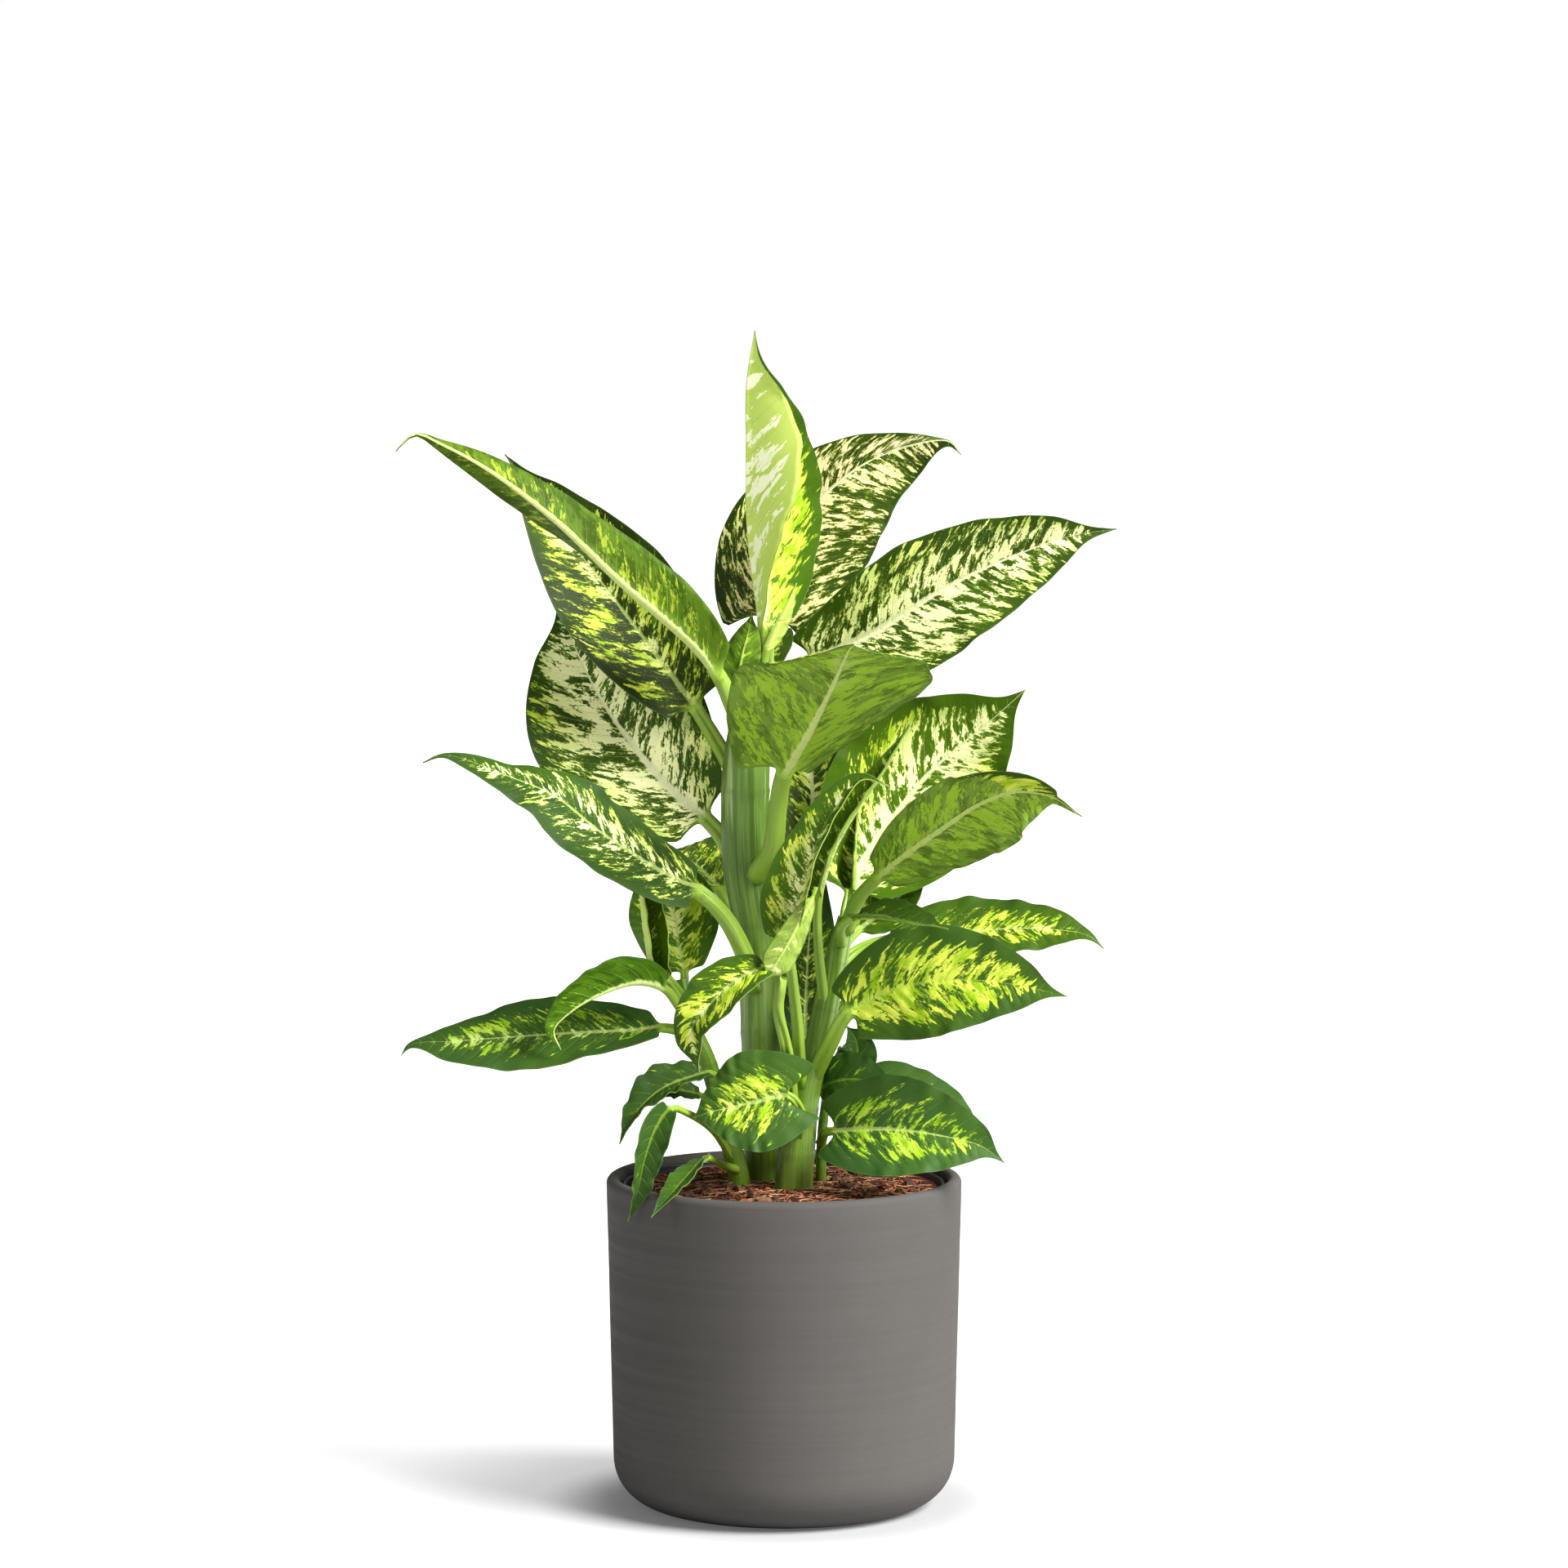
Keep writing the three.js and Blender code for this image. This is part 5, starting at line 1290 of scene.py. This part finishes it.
class PLANT_OT_coir(bpy.types.Operator):
    """Lays coir fibres, peat crumbs, bark chips and moss clumps on the soil"""
    bl_idname = "plant.coir"
    bl_label = "Fibres and crumbs"

    def execute(self, context):
        settings = context.scene.plant_pot
        rng = random.Random(COIR_SEED)
        limit = (LINER_NECK_RADIUS - COIR_EDGE) * MM
        strands = bmesh.new()
        for _ in range(settings.fibres):
            turn = rng.uniform(0, FULL_TURN)
            out = limit * math.sqrt(rng.random()) * COIR_REACH
            centre = Vector((out * math.cos(turn), out * math.sin(turn), 0))
            self.strand(strands, rng, centre, limit, settings.crumb_height)
        finish_piece(strands, "coir_fibres", [fibre_material("coir", settings.coir, COIR_PALE)])
        for name, count, sizes, fineness, low, high in LUMPS:
            lumps = bmesh.new()
            for _ in range(count):
                self.lump(lumps, rng, sizes, fineness, limit, settings.crumb_height)
            material = fibre_material(name.replace("_", " "), low, high)
            finish_piece(lumps, name, [material], smooth=False)
        return {"FINISHED"}

    def lump(self, bm, rng, sizes, fineness, limit, roughness):
        """One uneven lump on the soil, half sunk in it."""
        size = rng.uniform(*sizes) * MM
        turn, out = rng.uniform(0, FULL_TURN), (limit - size) * math.sqrt(rng.random())
        x, y = out * math.cos(turn), out * math.sin(turn)
        shape = Matrix.LocRotScale(
            Vector((x, y, soil_top(x, y, roughness) + LUMP_RISE * size)),
            Matrix.Rotation(rng.uniform(0, 6), 3, Vector((rng.random(), rng.random(), 1))),
            Vector((1, rng.uniform(*LUMP_WIDTHS), rng.uniform(*LUMP_HEIGHTS))) * size)
        made = bmesh.ops.create_icosphere(bm, subdivisions=fineness, radius=1, matrix=shape)
        for vert in made["verts"]:
            push = Vector([rng.uniform(-1, 1) for _ in range(3)])
            vert.co += push * size * LUMP_ROUGHNESS

    def strand(self, bm, rng, centre, limit, roughness):
        """One thin curved fibre of a few dozen faces."""
        length = rng.uniform(*STRAND_LENGTHS) * MM
        heading, bend = rng.uniform(0, FULL_TURN), rng.uniform(-STRAND_BEND, STRAND_BEND)
        radius = rng.uniform(*STRAND_RADII) * MM
        most = min(length / (STRAND_ARCH_LENGTH * MM), STRAND_ARCH_MOST)
        part = bmesh.new()
        order = wrapped_grid(part, STRAND_AROUND, STRAND_ROWS)
        for row in range(STRAND_ROWS + 1):
            share = row / STRAND_ROWS - 0.5
            angle = heading + bend * share
            place = centre + Vector((math.cos(angle), math.sin(angle), 0)) * length * share
            if place.length > limit:
                place = place.normalized() * limit
            arch = (0.25 - share * share) * STRAND_ARCH * MM * most
            place.z = soil_top(place.x, place.y, roughness) + radius * STRAND_RISE + arch
            side = Vector((-math.sin(angle), math.cos(angle), 0))
            thin = radius * (1 - STRAND_TAPER * abs(2 * share) ** 3)
            for k in range(STRAND_AROUND + 1):
                turn = FULL_TURN * (k % STRAND_AROUND) / STRAND_AROUND
                spot = ring_point(place, side, Vector((0, 0, 1)), thin, turn)
                order[row * (STRAND_AROUND + 1) + k].co = spot
        close_tube(part)
        mesh = bpy.data.meshes.new("strand")
        part.to_mesh(mesh)
        part.free()
        bm.from_mesh(mesh)
        bpy.data.meshes.remove(mesh)


class PLANT_OT_stems(bpy.types.Operator):
    """Makes the four canes"""
    bl_idname = "plant.stems"
    bl_label = "Stems"

    def execute(self, context):
        for name, stem in STEMS.items():
            stem_piece(name, stem, context.scene.plant_leaves)
        return {"FINISHED"}


class PLANT_OT_tall_leaves(bpy.types.Operator):
    """Makes the leaves of the tall shoot"""
    bl_idname = "plant.tall_leaves"
    bl_label = "Tall leaves"

    def execute(self, context):
        return build_leaves(TALL_LEAVES, context)


class PLANT_OT_left_leaves(bpy.types.Operator):
    """Makes the leaves of the left shoot"""
    bl_idname = "plant.left_leaves"
    bl_label = "Left leaves"

    def execute(self, context):
        return build_leaves(LEFT_LEAVES, context)


class PLANT_OT_front_leaves(bpy.types.Operator):
    """Makes the leaves in front of the canes, and the small loose blades"""
    bl_idname = "plant.front_leaves"
    bl_label = "Front leaves"

    def execute(self, context):
        return build_leaves(FRONT_LEAVES + LOOSE_LEAVES, context)


class PLANT_OT_right_leaves(bpy.types.Operator):
    """Makes the leaves of the right shoot"""
    bl_idname = "plant.right_leaves"
    bl_label = "Right leaves"

    def execute(self, context):
        return build_leaves(RIGHT_LEAVES, context)


class PLANT_OT_low_leaves(bpy.types.Operator):
    """Makes the low leaves and those at the rim"""
    bl_idname = "plant.low_leaves"
    bl_label = "Low leaves"

    def execute(self, context):
        return build_leaves(LOW_LEAVES, context)


class PLANT_OT_far_leaves(bpy.types.Operator):
    """Makes the leaves on the far side"""
    bl_idname = "plant.far_leaves"
    bl_label = "Far leaves"

    def execute(self, context):
        return build_leaves(FAR_LEAVES, context)


class PLANT_OT_studio(bpy.types.Operator):
    """Makes the floor, the lights and the camera"""
    bl_idname = "plant.studio"
    bl_label = "Studio"

    def execute(self, context):
        settings = context.scene.plant_studio
        self.lay_floor(context, settings)
        self.stand_lamps(context, settings)
        self.light_world(context, settings)
        self.stand_camera(context, settings)
        context.scene.view_settings.view_transform = "Standard"
        return {"FINISHED"}

    def lay_floor(self, context, settings):
        """A pale floor that glows away from the pot, and so stays white; its weaker glow near the
        pot paints a soft shade round the planter's foot.
        """
        bm = bmesh.new()
        bmesh.ops.create_grid(bm, x_segments=1, y_segments=1, size=FLOOR_SIZE)
        mesh = bpy.data.meshes.new("floor")
        bm.to_mesh(mesh)
        bm.free()
        floor = bpy.data.objects.new("floor", mesh)
        context.scene.collection.objects.link(floor)
        paint, w, shader = new_material("pale floor")
        east, north, _ = w.parts(w.object_place())
        away = w.math("SQRT", w.add(w.times(east, east), w.times(north, north)))
        # The glow is weaker close to the planter: a painted shadow round its foot on the floor
        glow = w.add(w.ease(away, *FLOOR_NEAR, 0.1, 0.5),
                     w.ease(away, *FLOOR_FAR, 0.0, settings.floor_glow))
        seen = w.node("LightPath").outputs["Is Camera Ray"]
        w.feed(shader, {"Base Color": settings.floor, "Roughness": 0.9,
                        "Specular IOR Level": 0.1, "Emission Color": WHITE,
                        "Emission Strength": w.times(glow, w.ease(seen, 0.0, 1.0, 0.4, 1.0))})
        mesh.materials.append(paint)

    def stand_lamps(self, context, settings):
        """A wide key light, a fill on the left and a soft spot on the leaves."""
        lamps = (
            ("key", "SUN", (2.7, -1.45, 2.55), (0, 0, 0),
             dict(energy=settings.key_strength, angle=math.radians(34))),
            ("fill", "AREA", (-3.4, -0.9, 1.6), (0, 0, 0.5),
             dict(energy=settings.fill_power, size=1.6)),
            ("leaf light", "SPOT", (-1.0, -1.7, 1.6), (-0.08, 0, 0.62),
             dict(energy=settings.leaf_power, spot_size=math.radians(26), spot_blend=1.0,
                  shadow_soft_size=0.45)))
        for name, kind, place, target, values in lamps:
            light = bpy.data.lights.new(name, kind)
            for key, value in values.items():
                setattr(light, key, value)
            lamp = bpy.data.objects.new(name, light)
            lamp.location = place
            aim = Vector(target) - Vector(place)
            lamp.rotation_euler = aim.to_track_quat("-Z", "Y").to_euler()
            context.scene.collection.objects.link(lamp)

    def light_world(self, context, settings):
        """Even light from all round, seen as plain white."""
        world = bpy.data.worlds.new("studio")
        world.use_nodes = True
        w = Wiring(world.node_tree)
        lit = world.node_tree.nodes["Background"]
        w.feed(lit, {"Color": WHITE, "Strength": settings.ambient})
        both = w.node("MixShader", {0: w.node("LightPath").outputs["Is Camera Ray"],
                                    1: lit.outputs[0],
                                    2: w.node("Background", {"Color": WHITE}).outputs[0]})
        w.feed(world.node_tree.nodes["World Output"], {0: both.outputs[0]})
        context.scene.world = world

    def stand_camera(self, context, settings):
        """The camera at the photograph's viewing angle."""
        camera = bpy.data.cameras.new("camera")
        camera.lens = settings.lens
        camera.sensor_width = SENSOR_WIDTH
        camera.clip_end = CLIP_END
        view = bpy.data.objects.new("camera", camera)
        view.location = (0, -settings.distance, settings.eye_height)
        view.rotation_euler = (math.pi / 2 - settings.tilt, 0, 0)
        context.scene.collection.objects.link(view)
        bpy.context.scene.camera = view


OPERATORS = (PLANT_OT_planter, PLANT_OT_nursery_pot, PLANT_OT_soil, PLANT_OT_coir,
             PLANT_OT_stems, PLANT_OT_tall_leaves, PLANT_OT_left_leaves,
             PLANT_OT_front_leaves, PLANT_OT_right_leaves, PLANT_OT_low_leaves,
             PLANT_OT_far_leaves, PLANT_OT_studio)


class PLANT_PT_panel(bpy.types.Panel):
    """Buttons and settings for the potted plant"""
    bl_idname = "PLANT_PT_panel"
    bl_label = "Potted dieffenbachia"
    bl_space_type = "VIEW_3D"
    bl_region_type = "UI"
    bl_category = "Plant"

    def draw(self, context):
        layout = self.layout
        for operator in OPERATORS:
            layout.operator(operator.bl_idname)
        for settings in (context.scene.plant_pot, context.scene.plant_leaves,
                         context.scene.plant_studio):
            box = layout.box()
            for name in settings.__annotations__:
                box.prop(settings, name)


CLASSES = (PotSettings, LeafSettings, StudioSettings, *OPERATORS, PLANT_PT_panel)


def register():
    for cls in CLASSES:
        bpy.utils.register_class(cls)
    bpy.types.Scene.plant_pot = bpy.props.PointerProperty(type=PotSettings)
    bpy.types.Scene.plant_leaves = bpy.props.PointerProperty(type=LeafSettings)
    bpy.types.Scene.plant_studio = bpy.props.PointerProperty(type=StudioSettings)


def unregister():
    for name in ("plant_pot", "plant_leaves", "plant_studio"):
        delattr(bpy.types.Scene, name)
    for cls in reversed(CLASSES):
        bpy.utils.unregister_class(cls)


def main():
    register()
    for operator in OPERATORS:
        group, name = operator.bl_idname.split(".")
        getattr(getattr(bpy.ops, group), name)()


if __name__ == "__main__":
    main()
